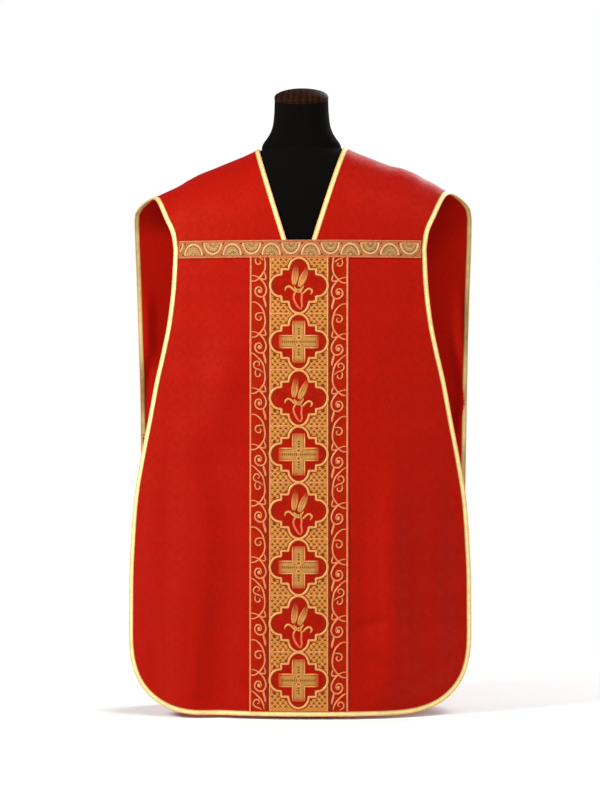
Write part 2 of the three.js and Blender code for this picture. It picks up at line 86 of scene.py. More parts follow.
# The right shoulder hangs a little fuller, rows of (x, lift)
RIGHT_SHOULDER_LIFT = [
    (0, 0), (60, 2), (100, 4), (170, 5), (205, 10), (235, 13), (262, 12), (292, 8), (342, 7),
]
# Rows of (height, depth from the wearer's plane)
FRONT_DEPTH = [(6, 150), (250, 147), (500, 142), (760, 134), (906, 126), (960, 124)]
BACK_DEPTH = [(6, 145), (250, 142), (500, 136), (760, 126), (930, 118), (960, 117)]
# Rows of (degrees from the ridge, half width) and of (height, half width)
SHOULDER_EDGE = [
    (-90, 246), (-78, 250), (-60, 265), (-47, 274), (-17, 291), (0, 302), (12, 314), (25, 327), (40, 335.5),
    (60, 338), (90, 337.6),
]
FRONT_EDGE = [
    (165, 334), (264, 333.4), (342, 329.9), (419, 324), (497, 311.4), (575, 296.4), (653, 281.8),
    (711, 268.5), (770, 256.9), (847, 248.7), (906, 246),
]
BACK_EDGE = [(150, 322), (350, 325), (534, 327.6), (694, 330.6), (815, 333.7), (930, 337.6)]
# Rounded corners of the hem: half width at the side, half width of the straight hem, height where they start
FRONT_CORNER = (334.0, 170.0, 165.0)
BACK_CORNER = (322.0, 160.0, 150.0)
CORNER_POWER = 2.66

# Folds, rows of (x, height, to x, to height, spread, depth): troughs, or ridges where the depth is below 0
FRONT_FOLDS = [
    (-205, 650, -118, 290, 34, 8), (-140, 330, -160, 6, 34, 9), (-286, 600, -292, 90, 34, -7),
    (-235, 330, -240, 6, 24, -5), (176, 520, 186, 90, 27, -10), (122, 480, 130, 60, 20, 4),
    (242, 420, 236, 6, 26, 7), (338, 430, 336, 40, 40, 16),
]
BACK_FOLDS = [
    (-210, 700, -170, 6, 40, 10), (-90, 560, -70, 6, 34, -7), (30, 620, 10, 6, 36, 8),
    (140, 740, 165, 6, 38, -9), (245, 600, 250, 6, 34, 9), (-300, 500, -296, 40, 34, -7),
]
# How the finished cloth hangs over those folds: broad ones first, then small creases
FRONT_CREASES = [
    (-100, 768, -200, 500, 44, -9), (-200, 560, -206, 6, 46, -11), (242, 420, 236, 6, 26, -5),
    (170, 500, 172, 6, 40, -5), (305, 560, 300, 6, 68, 17),
    (-262, 560, -258, 150, 13, 1.4), (-176, 470, -182, 120, 12, -1.3), (-128, 250, -138, 6, 10, 1.6),
    (-196, 260, -206, 6, 11, -1.8), (-300, 300, -282, 60, 14, 2.4), (150, 420, 156, 130, 10, 1.4),
    (206, 470, 214, 120, 12, 1.6), (268, 520, 262, 60, 13, -2.0), (300, 360, 308, 90, 11, 2.2),
    (96, 92, 236, 40, 9, 2.0), (120, 66, 262, 92, 10, -1.8), (-120, 60, -210, 30, 9, 1.6),
    (-226, 830, -180, 700, 18, 1.2), (222, 820, 190, 690, 18, 1.3), (-150, 760, -130, 620, 20, -1.0),
    (140, 780, 150, 610, 20, -1.1), (96, 168, 182, 196, 10, 3.6), (110, 118, 250, 66, 13, 4.4),
    (180, 60, 290, 120, 12, 3.8), (120, -14, 335, 70, 34, 15), (-215, 44, -120, 12, 11, 2.6),
    (-60, 30, -110, 70, 10, 1.8),
    (262, 300, 300, 200, 10, 2.4), (290, 420, 316, 330, 10, 2.2),
]
BACK_CREASES = [
    (-260, 560, -250, 60, 14, 2.0), (-130, 480, -124, 6, 13, 1.8), (-30, 520, -34, 6, 12, -1.8),
    (76, 600, 86, 6, 13, 1.7), (196, 640, 206, 6, 13, -2.0), (300, 420, 296, 60, 12, 1.9),
    (-70, 880, -20, 640, 20, 1.3), (90, 900, 60, 680, 20, 1.2), (-230, 860, -240, 640, 20, -1.2),
    (-316, 850, -312, 690, 12, 4), (-306, 720, -326, 560, 11, -4), (-328, 580, -306, 440, 12, 5),
    (316, 850, 322, 700, 13, -5), (326, 660, 308, 500, 12, 5), (300, 760, 322, 640, 10, 3),
]

# Dress form, rows of (height, half width, front, back) and of (height, half width, depth, middle y, slope)
FORM_BODY = [
    (446, 150, 94, 96), (452, 163, 103, 104), (470, 169, 108, 110), (560, 172, 108, 112),
    (640, 154, 101, 101), (700, 140, 96, 92), (760, 143, 99, 91), (820, 152, 106, 95),
    (870, 161, 115, 101), (910, 169, 119.5, 107),
    (950, 180, 118, 109), (980, 196, 114, 108), (1005, 207, 112, 105), (1030, 211, 110, 100),
    (1052, 208, 92, 86), (1080, 208, 76, 73), (1107, 208, 60, 60), (1125, 208, 44, 48),
]
FORM_NECK = [
    (1000, 84, 53, 3, 0), (1080, 83, 53, 3, 0), (1107, 79, 53, 3, 0), (1113, 78.6, 53.5, 3, 0),
    (1120, 76.2, 54, 3, 0), (1132, 68, 54, 2.5, 1.5), (1144, 61, 54, 2, 3), (1156, 57, 54, 1, 5.5),
    (1168, 55.2, 53.6, 0, 8.5), (1188, 53.6, 53.3, -2, 13.5), (1207, 53, 53, -4, 17),
]
FORM_MARGIN = 4.4
BODY_POWER = 2.3
NECK_HOLDS_HEIGHT = 1045.0  # above it the body is at least as wide as the neck
NECK_ALONE_HEIGHT = 1121.0
CAP_RADIUS = 53.5
CAP_RISE = 20.0
POLE_RADIUS = 12.5
BASE_RADIUS = 125.0
BASE_THICKNESS = 12.0

# Orphrey: a column of medallions between two scroll borders
ORPHREY_HALF = 95.0
COLUMN_HALF = 56.7
EDGE_LINE_X = 93.2
MEDALLIONS = 8
PITCH = 108.4
FIRST_CENTRE = 834.5
ORPHREY_LIFT = 1.15  # top of the woven ground over the damask

# Photograph's viewpoint
CAMERA_DISTANCE = 5150.0
CAMERA_HEIGHT = 614.0
CAMERA_ASIDE = -3.0
CAMERA_TURN = 2.2  # degrees round the form, towards the right of the picture
LENS = 117.2


# Smooth tables and folds
def reader(rows, column=1):
    """A smooth curve through a table's rows, with no overshoot."""
    at = np.array([row[0] for row in rows], float)
    value = np.array([row[column] for row in rows], float)
    slope = np.diff(value) / np.diff(at)
    before, after = slope[:-1], slope[1:]
    both = np.where(before * after > 0, before + after, 1.0)
    inner = np.where(before * after > 0, 2 * before * after / both, 0.0)
    tangent = np.concatenate([slope[:1], inner, slope[-1:]])

    def read(where):
        where = np.clip(where, at[0], at[-1])
        i = np.clip(np.searchsorted(at, where, side="right") - 1, 0, len(at) - 2)
        span = at[i + 1] - at[i]
        u = (where - at[i]) / span
        bend = 3 * u**2 - 2 * u**3
        lean = tangent[i] * (u - 2 * u**2 + u**3) + tangent[i + 1] * (u**3 - u**2)
        return value[i] * (1 - bend) + value[i + 1] * bend + span * lean

    return read


shoulder_ridge = reader(SHOULDER_RIDGE)
right_shoulder_lift = reader(RIGHT_SHOULDER_LIFT)
front_depth = reader(FRONT_DEPTH)
back_depth = reader(BACK_DEPTH)
shoulder_edge = reader(SHOULDER_EDGE)
front_edge = reader(FRONT_EDGE)
back_edge = reader(BACK_EDGE)


def ridge_height(x):
    """Height of the shoulders' ridge, rounded off behind the middle of the neck."""
    return shoulder_ridge(np.hypot(x, NECK_ROUNDING)) + right_shoulder_lift(x)


def smoothstep(value, low, high):
    u = np.clip((value - low) / (high - low), 0, 1)
    return u * u * (3 - 2 * u)


def fold_depth(folds, x, height):
    total = np.zeros(np.broadcast(x, height).shape)
    for start_x, start, end_x, end, spread, depth in folds:
        run_x, run_z = end_x - start_x, end - start
        length = math.hypot(run_x, run_z)
        along = ((x - start_x) * run_x + (height - start) * run_z) / length**2
        off = ((x - start_x) * run_z - (height - start) * run_x) / length
        fade = smoothstep(along, -0.1, 0.45)
        if end > 2 * HEM_HEIGHT:
            fade = fade * (1 - smoothstep(along, 0.75, 1.15))
        total = total + depth * fade * np.exp(-((off / spread) ** 2))
    return total


def softness(x, height):
    """Slow, shallow unevenness of hung cloth."""
    broad = np.sin(x / 41 + 0.6 * np.sin(height / 97)) * np.sin(height / 133 + x / 210)
    small = np.sin(x / 17 + height / 61) * np.sin(height / 29 - x / 53)
    return 0.5 * broad + 0.16 * small


# Drape
def fall_depth(x, height, side):
    """Depth of a fall from the wearer's plane: side is -1 in front and 1 behind."""
    if side < 0:
        folds = fold_depth(FRONT_FOLDS + FRONT_CREASES, x, height)
        return front_depth(height) - x**2 / FRONT_ROUNDING - folds
    folds = fold_depth(BACK_FOLDS + BACK_CREASES, x, height)
    return back_depth(height) - x**2 / BACK_ROUNDING - folds


CALM_FROM, CALM_TO = 905, 600  # heights between which the stretched cloth grows softer


def drape(x, travel):
    """Points of the cloth's outer face."""
    x, travel = np.broadcast_arrays(np.asarray(x, float), np.asarray(travel, float))
    front = travel < 0
    side = np.where(front, -1.0, 1.0)
    top = np.where(front, SEAM_HEIGHT, BACK_TOP)
    down = np.abs(travel) - QUARTER
    height = top - np.maximum(down, 0)
    depth = np.where(front, fall_depth(x, height, -1), fall_depth(x, height, 1))
    turn = np.minimum(np.abs(travel) / QUARTER, 1) * math.pi / 2
    depth = depth + softness(x, height) * smoothstep(height, CALM_FROM, CALM_TO)
    y = np.where(down >= 0, side * depth, RIDGE_Y + side * (depth - side * RIDGE_Y) * np.sin(turn))
    z = np.where(down >= 0, height, top + (ridge_height(x) - top) * np.cos(turn))
    return np.stack([x, y, z], -1)


SMALL_STEP = 0.5


def slopes(x, travel):
    across = drape(x + SMALL_STEP, travel) - drape(x - SMALL_STEP, travel)
    down = drape(x, travel + SMALL_STEP) - drape(x, travel - SMALL_STEP)
    return across / (2 * SMALL_STEP), down / (2 * SMALL_STEP)


def unit(vectors):
    return vectors / np.linalg.norm(vectors, axis=-1, keepdims=True)


def outward(x, travel):
    return unit(np.cross(*slopes(x, travel)))


def cloth_point(x, travel, lift=0.0):
    return drape(x, travel) + outward(x, travel) * np.asarray(lift)[..., None]


def cloth_map(x, travel):
    """Flat coordinates of the cloth in metres, for its weave."""
    size = np.abs(travel)
    length = np.where(size < QUARTER, size / QUARTER * ARCH_LENGTH, ARCH_LENGTH + size - QUARTER)
    return np.stack([x, -np.sign(travel) * length], -1) * MM


def height_travel(height, side):
    return side * (QUARTER + (SEAM_HEIGHT if side < 0 else BACK_TOP) - height)


def turn_travel(degrees):
    return np.asarray(degrees) / 90 * QUARTER


def front_travel(x, height):
    """Travel of the front's point at x and a height."""
    rise = np.clip((height - SEAM_HEIGHT) / (ridge_height(x) - SEAM_HEIGHT), 0, 1)
    over = turn_travel(-np.degrees(np.arccos(rise)))
    return np.where(height > SEAM_HEIGHT, over, height_travel(height, -1))


# Outlines, as rows of (x, travel)
def pairs(x, travel):
    return np.stack(np.broadcast_arrays(np.asarray(x, float), np.asarray(travel, float)), -1)


def corner_path(corner, side, steps=24):
    """From the straight hem round to the side."""
    edge, straight, start = corner
    angle = np.radians(np.linspace(90, 0, steps))
    power = 2 / CORNER_POWER
    x = straight + (edge - straight) * np.clip(np.cos(angle), 0, 1) ** power
    height = start - (start - HEM_HEIGHT) * np.sin(angle) ** power
    return pairs(x, height_travel(height, side))


def side_path(corner, edge, side, top, steps):
    height = np.linspace(corner[2], top, steps)[1:]
    return pairs(edge(height), height_travel(height, side))


def fall_side(corner, edge, side, top):
    """From the end of the straight hem up to the top of a fall."""
    return np.concatenate([corner_path(corner, side), side_path(corner, edge, side, top, SIDE_STEPS)])


HEM_STEPS = 28
SIDE_STEPS = 110
front_side = fall_side(FRONT_CORNER, front_edge, -1, SEAM_HEIGHT)
back_side = fall_side(BACK_CORNER, back_edge, 1, BACK_TOP)[::-1]
NECK_STEPS = 16  # rows beside the back of the neck, and columns below it
YOKE_TURNS = np.linspace(-90, 0, 40)
BACK_TURNS = np.concatenate([np.linspace(0, 30, NECK_STEPS + 1)[1:], np.linspace(30, 90, 31)[1:]])
SETTLING_ROWS = 18
shoulder_turns = np.concatenate([YOKE_TURNS, BACK_TURNS])
shoulder = pairs(shoulder_edge(shoulder_turns), turn_travel(shoulder_turns))
right_outline = np.concatenate([
    pairs(np.linspace(0, FRONT_CORNER[1], HEM_STEPS)[:-1], height_travel(HEM_HEIGHT, -1)),
    front_side,
    shoulder[1:-1],
    back_side,
    pairs(np.linspace(BACK_CORNER[1], 0, HEM_STEPS)[1:], height_travel(HEM_HEIGHT, 1)),
])
outline = np.concatenate([right_outline, right_outline[-2:0:-1] * (-1, 1)])


def moved_in(path, distance, closed=True):
    """A path moved across the cloth, to the left of its way."""
    before, after = np.roll(path, 1, 0), np.roll(path, -1, 0)
    if not closed:
        before[0], after[-1] = path[0], path[-1]
    way = unit(drape(*after.T) - drape(*before.T))
    across, down = slopes(*path.T)
    move = unit(np.cross(unit(np.cross(across, down)), way)) * distance
    aa, ad, dd = (across * across).sum(-1), (across * down).sum(-1), (down * down).sum(-1)
    ma, md = (move * across).sum(-1), (move * down).sum(-1)
    scale = aa * dd - ad * ad
    return path + np.stack([(ma * dd - md * ad) / scale, (md * aa - ma * ad) / scale], -1)


V_ROUNDS = 12  # enough for the V's x and height to agree


def v_path(turns):
    """The V's right edge at turns from the ridge."""
    slope = (NECK_HALF - V_BOTTOM_HALF) / (ridge_height(NECK_HALF) - GALLOON_TOP)
    x = np.full(len(turns), NECK_HALF)
    for _ in range(V_ROUNDS):
        height = SEAM_HEIGHT + (ridge_height(x) - SEAM_HEIGHT) * np.cos(np.radians(turns))
        x = V_BOTTOM_HALF + (height - GALLOON_TOP) * slope
    return pairs(x, turn_travel(turns))


def back_neck_path(angles):
    x = NECK_HALF * np.cos(np.radians(angles))
    reach = back_depth(BACK_TOP) - x**2 / BACK_ROUNDING - RIDGE_Y
    turn = np.degrees(np.arcsin(NECK_BACK_DEPTH * np.sin(np.radians(angles)) / reach))
    return pairs(x, turn_travel(turn))


def neckline(first_turn=-90.0):
    """From the left end of the V round the back of the neck to the right end."""
    turns = np.concatenate([[first_turn], YOKE_TURNS[YOKE_TURNS > first_turn + 0.5]])
    right = np.concatenate([v_path(turns), back_neck_path(np.linspace(0, 90, 2 * NECK_STEPS + 1))[1:]])
    return np.concatenate([right * (-1, 1), right[-2::-1]])


# Grids of the panels
CLOTH_UNDER_BRAID = 4.0
FRONT_COLUMNS = 141
SIDE_COLUMNS = 46


def front_grid():
    edge = moved_in(outline, CLOTH_UNDER_BRAID)[HEM_STEPS - 1:HEM_STEPS - 1 + len(front_side)][::-1]
    edge[0, 1] = -QUARTER - 0.3
    x = edge[:, :1] * np.linspace(-1, 1, FRONT_COLUMNS)
    return x, np.broadcast_to(edge[:, 1:], x.shape)


def back_grid():
    """Rows from the chest seam over the shoulder to the back's hem, open at the neck."""
    first = HEM_STEPS - 2 + len(front_side)
    edge = moved_in(outline, CLOTH_UNDER_BRAID)[first:first + len(shoulder) + len(back_side) - 1]
    edge[0, 1] = -QUARTER
    neck = moved_in(neckline(), CLOTH_UNDER_BRAID, closed=False)
    neck = neck[len(neck) // 2:][::-1]
    neck[0, 1] = -QUARTER
    neck_row = len(YOKE_TURNS) - 1 + NECK_STEPS
    rows, columns = len(edge), NECK_STEPS + SIDE_COLUMNS + 1
    half = np.full((rows, columns, 2), np.nan)
    settled_row = neck_row + SETTLING_ROWS
    below = neck[neck_row:][::-1]
    straight = np.linspace(0, ORPHREY_HALF, NECK_STEPS + 1)
    blend = np.linspace(0, 1, SIDE_COLUMNS + 1)[:, None]
    for row in range(rows):
        if row < neck_row:
            start = neck[row]
        else:
            settled = min((row - neck_row) / SETTLING_ROWS, 1)
            target = edge[max(row, settled_row), 1]
            half[row, :NECK_STEPS + 1] = below + (pairs(straight, target) - below) * settled
            start = half[row, NECK_STEPS]
        half[row, NECK_STEPS:] = start + (edge[row] - start) * blend
    left = half[:, :0:-1] * (-1, 1)
    grid = np.concatenate([left, half], 1)
    return grid[..., 0], grid[..., 1]


# Meshes
SHARP_ANGLE = math.radians(50)


class Heap:
    """Points and faces of many small shapes, which make one mesh."""

    def __init__(self):
        self.points, self.faces, self.maps, self.count = [], [], [], 0

    def add(self, points, faces, flat):
        points = np.asarray(points, float).reshape(-1, 3)
        self.faces.extend([[i + self.count for i in face] for face in faces])
        self.points.append(points)
        self.maps.append(np.asarray(flat, float).reshape(-1, 2))
        self.count += len(points)

    def make(self, name, finish, slot, replaces=(), under=None, is_under=None):
        points, flat = np.concatenate(self.points), np.concatenate(self.maps)
        mesh = bpy.data.meshes.new(name)
        mesh.from_pydata((points * MM).tolist(), [], self.faces)
        mesh.materials.append(finish)
        if under is not None:
            mesh.materials.append(under)
            mesh.polygons.foreach_set("material_index", np.asarray(is_under, np.int32))
        corner = np.empty(len(mesh.loops), np.int32)
        mesh.loops.foreach_get("vertex_index", corner)
        mesh.uv_layers.new(name="cloth").data.foreach_set("uv", flat[corner].ravel())
        shape = bmesh.new()
        shape.from_mesh(mesh)
        bmesh.ops.recalc_face_normals(shape, faces=shape.faces)
        shape.to_mesh(mesh)
        shape.free()
        mesh.shade_smooth()
        mesh.set_sharp_from_angle(angle=SHARP_ANGLE)
        piece = bpy.data.objects.new(name, mesh)
        bpy.context.scene.collection.objects.link(piece)
        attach(piece, BODY)
        if replaces:
            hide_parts(*replaces)
        return piece


def wall(x, travel, outer, inner):
    """Points, faces, map and the mark of inner faces of a wall of cloth over a grid of points."""
    shown = np.isfinite(x)
    number = np.full(x.shape, -1)
    number[shown] = np.arange(shown.sum())
    px, pt = x[shown], travel[shown]
    base, normal = drape(px, pt), outward(px, pt)
    layer = len(px)
    cell = shown[:-1, :-1] & shown[:-1, 1:] & shown[1:, :-1] & shown[1:, 1:]
    a, b, c, d = number[:-1, :-1], number[:-1, 1:], number[1:, 1:], number[1:, :-1]
    top = np.stack([a, b, c, d], -1)[cell]
    around = np.pad(cell, 1)
    rims = []
    for beside, p, q in (
        (around[:-2, 1:-1], a, b),
        (around[1:-1, 2:], b, c),
        (around[2:, 1:-1], c, d),
        (around[1:-1, :-2], d, a),
    ):
        edge = cell & ~beside
        rims.append(np.stack([q[edge], p[edge], p[edge] + layer, q[edge] + layer], -1))
    rim = np.concatenate(rims)
    faces = np.concatenate([top, rim, top[:, ::-1] + layer])
    flat = cloth_map(px, pt)
    is_under = np.arange(len(faces)) >= len(top) + len(rim)
    points = np.concatenate([base + normal * outer, base + normal * inner])
    return points, faces.tolist(), np.concatenate([flat, flat]), is_under


def cloth_piece(name, grid, outer, inner, finish, slot, node, under=None):
    points, faces, flat, is_under = wall(*grid, outer, inner)
    heap = Heap()
    heap.add(points, faces, flat)
    return heap.make(name, finish, slot, (node,), under or finish, is_under)


def area_of(grid):
    """Square metres of the cloth over a grid."""
    points = drape(*grid)
    first = np.cross(points[:-1, 1:] - points[:-1, :-1], points[1:, :-1] - points[:-1, :-1])
    second = np.cross(points[1:, :-1] - points[1:, 1:], points[:-1, 1:] - points[1:, 1:])
    whole = np.linalg.norm(first, axis=-1) + np.linalg.norm(second, axis=-1)
    return float(np.nansum(whole) / 2) * MM * MM


def lay(flat, lift):
    """Points on the front at (x, height), lifted from the damask."""
    x, height = flat[..., 0], flat[..., 1]
    return cloth_point(x, front_travel(x, height), np.broadcast_to(lift, x.shape))


def distances(points):
    """How far along a line each of its points lies."""
    return np.concatenate([[0], np.cumsum(np.linalg.norm(np.diff(points, axis=0), axis=1))])


def points_at(at, distance, path):
    """The points of a path at some distances along it."""
    return np.stack([np.interp(at, distance, column) for column in path.T], -1)


def spaced(path, step):
    """The same path with its points evenly spaced."""
    path = np.asarray(path, float)
    distance = distances(path)
    count = max(2, int(round(distance[-1] / step)) + 1)
    return points_at(np.linspace(0, distance[-1], count), distance, path)


def curve(points, step):
    """A smooth path through points, evenly spaced."""
    points = np.asarray(points, float)
    held = np.concatenate([2 * points[:1] - points[1:2], points, 2 * points[-1:] - points[-2:-1]])
    u = np.linspace(0, 1, 12, endpoint=False)[:, None]
    spans = [
        0.5 * (2 * b + (c - a) * u + (2 * a - 5 * b + 4 * c - d) * u**2 + (3 * b - a - 3 * c + d) * u**3)
        for a, b, c, d in zip(held, held[1:], held[2:], held[3:])
    ]
    return spaced(np.concatenate(spans + [held[-2:-1]]), step)


CORD_SECTION = np.array([(-1, 0), (-0.78, 0.66), (0, 1), (0.78, 0.66), (1, 0)])


def ring_faces(rings, size, closed):
    """Faces of a tube through rings of points: closed on itself, or with a face at each end."""
    faces = []
    for r in range(rings if closed else rings - 1):
        here, ahead = r * size, (r + 1) % rings * size
        for i in range(size):
            beside = (i + 1) % size
            faces.append([here + i, here + beside, ahead + beside, ahead + i])
    if not closed:
        faces += [list(range(size))[::-1], [(rings - 1) * size + i for i in range(size)]]
    return faces


def cord(heap, path, width, rise, lift, closed=False, ends=1.0):
    """A raised half-round line on the front; ends below 1 narrow its two ends."""
    if closed:
        way = np.roll(path, -1, 0) - np.roll(path, 1, 0)
    else:
        way = np.gradient(path, axis=0)
    side = unit(np.stack([way[:, 1], -way[:, 0]], -1))
    u = np.linspace(0, 1, len(path))
    size = np.minimum(1, ends + (1 - ends) * np.minimum(u, 1 - u) * 5) if ends < 1 else np.ones(len(path))
    flat = path[:, None] + side[:, None] * (width / 2 * size[:, None] * CORD_SECTION[:, 0])[..., None]
    points = lay(flat, lift + rise * size[:, None] * CORD_SECTION[:, 1])
    heap.add(points, ring_faces(len(path), len(CORD_SECTION), closed), flat * MM)


PATCH_CELL = 7.0


def patch(heap, edge, lift, rise):
    """A raised flat shape on the front, cut into cells that can follow it."""
    shape = bmesh.new()
    face = shape.faces.new([shape.verts.new((x, z, 0)) for x, z in edge])
    face.normal_update()
    bmesh.ops.triangulate(shape, faces=[face])
    low, high = edge.min(0), edge.max(0)
    for axis, normal in ((0, (1, 0, 0)), (1, (0, 1, 0))):
        for at in np.arange(low[axis] + PATCH_CELL, high[axis], PATCH_CELL):
            everything = shape.verts[:] + shape.edges[:] + shape.faces[:]
            spot = [0, 0, 0]
            spot[axis] = at
            bmesh.ops.bisect_plane(shape, geom=everything, plane_co=spot, plane_no=normal)
    shape.verts.index_update()
    flat = np.array([v.co[:2] for v in shape.verts])
    count = len(flat)
    top = [[v.index for v in f.verts] for f in shape.faces]
    rims = []
    for e in shape.edges:
        if len(e.link_faces) == 1:
            a, b = (v.index for v in e.verts)
            rims.append([a, b, b + count, a + count])
    shape.free()
    points = np.concatenate([lay(flat, lift + rise), lay(flat, lift)])
    under = [[i + count for i in f[::-1]] for f in top]
    heap.add(points, top + rims + under, np.concatenate([flat, flat]) * MM)


def dome(sides, rings, point=0.0):
    """A template of unit size: a dome over a round or, with point above 0, a pointed foot."""
    angle = np.arange(sides) / sides * 2 * math.pi
    narrow = 1 - point * np.abs(np.sin(angle))
    foot = np.stack([np.cos(angle) * narrow, np.sin(angle)], -1)
    points = [np.concatenate([foot * size, np.full((sides, 1), rise)], 1) for size, rise in rings]
    return np.concatenate(points), ring_faces(len(rings), sides, False)


BEAD = dome(6, ((1, 0), (0.6, 1)))
LEAF = dome(6, ((1, 0), (0.55, 1)), point=0.4)


def copies_of(template, count):
    """Faces of so many copies of a template."""
    shape, faces = template
    return [[i + n * len(shape) for i in face] for n in range(count) for face in faces]


def scatter(heap, template, centres, angles, sizes, lift):
    """Copies of a template on the front: sizes are half width, half length and rise."""
    shape = template[0]
    centres, sizes = np.asarray(centres, float), np.asarray(sizes, float)
    angles = np.radians(np.broadcast_to(angles, len(centres)))
    sizes = np.broadcast_to(sizes, (len(centres), 3))
    local = shape[None] * sizes[:, None]
    turned_x = local[..., 0] * np.cos(angles)[:, None] + local[..., 1] * np.sin(angles)[:, None]
    turned_z = -local[..., 0] * np.sin(angles)[:, None] + local[..., 1] * np.cos(angles)[:, None]
    flat = centres[:, None] + np.stack([turned_x, turned_z], -1)
    points = lay(flat, lift + local[..., 2])
    heap.add(points, copies_of(template, len(centres)), flat * MM)


def place(heap, template, origin, along, normal, sizes, flat):
    """Copies of a template anywhere, lying along a way and standing on a normal."""
    shape = template[0]
    along, normal = unit(along), unit(normal)
    across = np.cross(along, normal)
    local = shape * np.asarray(sizes, float)
    points = origin[:, None] + (
        across[:, None] * local[:, :1] + along[:, None] * local[:, 1:2] + normal[:, None] * local[:, 2:]
    )
    heap.add(points, copies_of(template, len(origin)), np.repeat(flat, len(shape), 0))


# Finishes
def srgb(*levels):
    return tuple(round(((v / 255 + 0.055) / 1.055) ** 2.4 if v > 10 else v / 255 / 12.92, 4) for v in levels)


def tone(colour, share):
    return [min(c * share, 1.0) for c in colour[:3]] + [1.0]


class Finish:
    """A procedural material while it is being built."""

    def __init__(self, name, **settings):
        self.material = bpy.data.materials.new(name)
        self.material.use_nodes = True
        self.tree = self.material.node_tree
        self.shader = self.tree.nodes["Principled BSDF"]
        for socket, value in settings.items():
            self.shader.inputs[socket.replace("_", " ")].default_value = value

    def add(self, kind, inputs=None, **settings):
        node = self.tree.nodes.new("ShaderNode" + kind)
        for name, value in settings.items():
            setattr(node, name, value)
        for socket, value in (inputs or {}).items():
            if isinstance(value, bpy.types.NodeSocket):
                self.tree.links.new(value, node.inputs[socket])
            else:
                node.inputs[socket].default_value = value
        return node

    def cloth_place(self):
        return self.add("UVMap", uv_map="cloth").outputs[0]

    def solid_place(self):
        return self.add("TexCoord").outputs["Object"]

    def turned(self, place, degrees=0.0, scale=(1, 1, 1)):
        inputs = {"Vector": place, "Rotation": (0, 0, math.radians(degrees)), "Scale": scale}
        return self.add("Mapping", inputs).outputs[0]

    def bands(self, place, period, direction="X", distortion=0.0):
        """0 to 1 waves, period in metres."""
        scale = math.pi / 10 / period
        inputs = {"Vector": place, "Scale": scale, "Distortion": distortion, "Detail Scale": 2.0}
        return self.add("TexWave", inputs, bands_direction=direction).outputs["Fac"]

    def noise(self, place, size, detail=2.0, distortion=0.0):
        """Noise whose blotches measure about size in metres."""
        inputs = {"Vector": place, "Scale": 1 / size, "Detail": detail, "Distortion": distortion}
        return self.add("TexNoise", inputs).outputs["Fac"]

    def maths(self, operation, first, second=0.0):
        return self.add("Math", {0: first, 1: second}, operation=operation).outputs[0]

    def ramp(self, value, *stops, ease=False):
        node = self.add("ValToRGB", {"Fac": value})
        elements = node.color_ramp.elements
        while len(elements) < len(stops):
            elements.new(0.5)
        for element, (at, colour) in zip(elements, stops):
            element.position = at
            element.color = colour if hasattr(colour, "__len__") else (colour, colour, colour, 1)
        node.color_ramp.interpolation = "EASE" if ease else "LINEAR"
        return node.outputs["Color"]

    def mix(self, share, first, second, blend="MIX"):
        node = self.add("Mix", data_type="RGBA", blend_type=blend)
        for socket, value in ((0, share), (6, first), (7, second)):
            if isinstance(value, bpy.types.NodeSocket):
                self.tree.links.new(value, node.inputs[socket])
            else:
                node.inputs[socket].default_value = value
        return node.outputs[2]

    def give(self, socket, value):
        self.tree.links.new(value, self.shader.inputs[socket])

    def bump(self, height, millimetres, strength=1.0):
        inputs = {"Height": height, "Distance": millimetres * MM, "Strength": strength}
        self.give("Normal", self.add("Bump", inputs).outputs[0])


def colours():
    return bpy.context.scene.chasuble_colours


def sizes():
    return bpy.context.scene.chasuble_sizes


def weave(finish, place, thread):
    """Over and under of a plain weave, from 0 to 1."""
    warp = finish.bands(place, thread, "X")
    weft = finish.bands(place, thread, "Y")
    return finish.maths("MULTIPLY", warp, weft)


RED_GLEAM = (1.0, 0.25, 0.1, 1.0)
GILT_GLEAM = (1.0, 0.8, 0.5, 1.0)


def damask_finish():
    f = Finish("red_damask", Specular_IOR_Level=0.15, Specular_Tint=RED_GLEAM)
    place = f.cloth_place()
    parts = f.add("SeparateXYZ", {0: place}).outputs
    mirrored = f.add("CombineXYZ", {
        0: f.maths("PINGPONG", parts[0], 0.034),
        1: f.maths("PINGPONG", parts[1], 0.052),
    }).outputs[0]
    ornament = f.noise(mirrored, 0.016, 2.0, 1.4)
    figure = f.ramp(ornament, (0.45, 0.0), (0.52, 1.0), ease=True)
    cloudy = f.ramp(f.noise(place, 0.05, 3.0), (0.3, 0.0), (0.7, 1.0))
    slub = f.noise(f.turned(place, scale=(1, 0.12, 1)), 0.0016, 2.0)
    red = colours().damask
    body = f.mix(figure, tone(red, 0.95), tone(red, 1.03))
    body = f.mix(f.maths("MULTIPLY", cloudy, 0.5), body, tone(red, 0.94))
    threads = f.ramp(slub, (0.25, 0.9), (0.75, 1.06))
    f.give("Base Color", f.mix(1.0, body, threads, "MULTIPLY"))
    f.give("Roughness", f.ramp(figure, (0.0, 0.6), (1.0, 0.5)))
    relief = f.maths("ADD", weave(f, place, 0.0012), f.maths("MULTIPLY", figure, 0.9))
    f.bump(f.maths("ADD", relief, f.maths("MULTIPLY", slub, 0.8)), 0.12, 0.7)
    return f.material


def lining_finish():
    f = Finish("red_lining", Specular_IOR_Level=0.15, Specular_Tint=RED_GLEAM)
    place = f.cloth_place()
    red = colours().lining
    slub = f.noise(f.turned(place, scale=(0.15, 1, 1)), 0.002, 2.0)
    f.give("Base Color", f.ramp(slub, (0.25, tone(red, 0.82)), (0.8, tone(red, 1.12))))
    f.give("Roughness", f.ramp(f.noise(place, 0.03), (0.3, 0.36), (0.7, 0.5)))
    f.bump(weave(f, f.turned(place, 45), 0.0009), 0.05, 0.6)
    return f.material


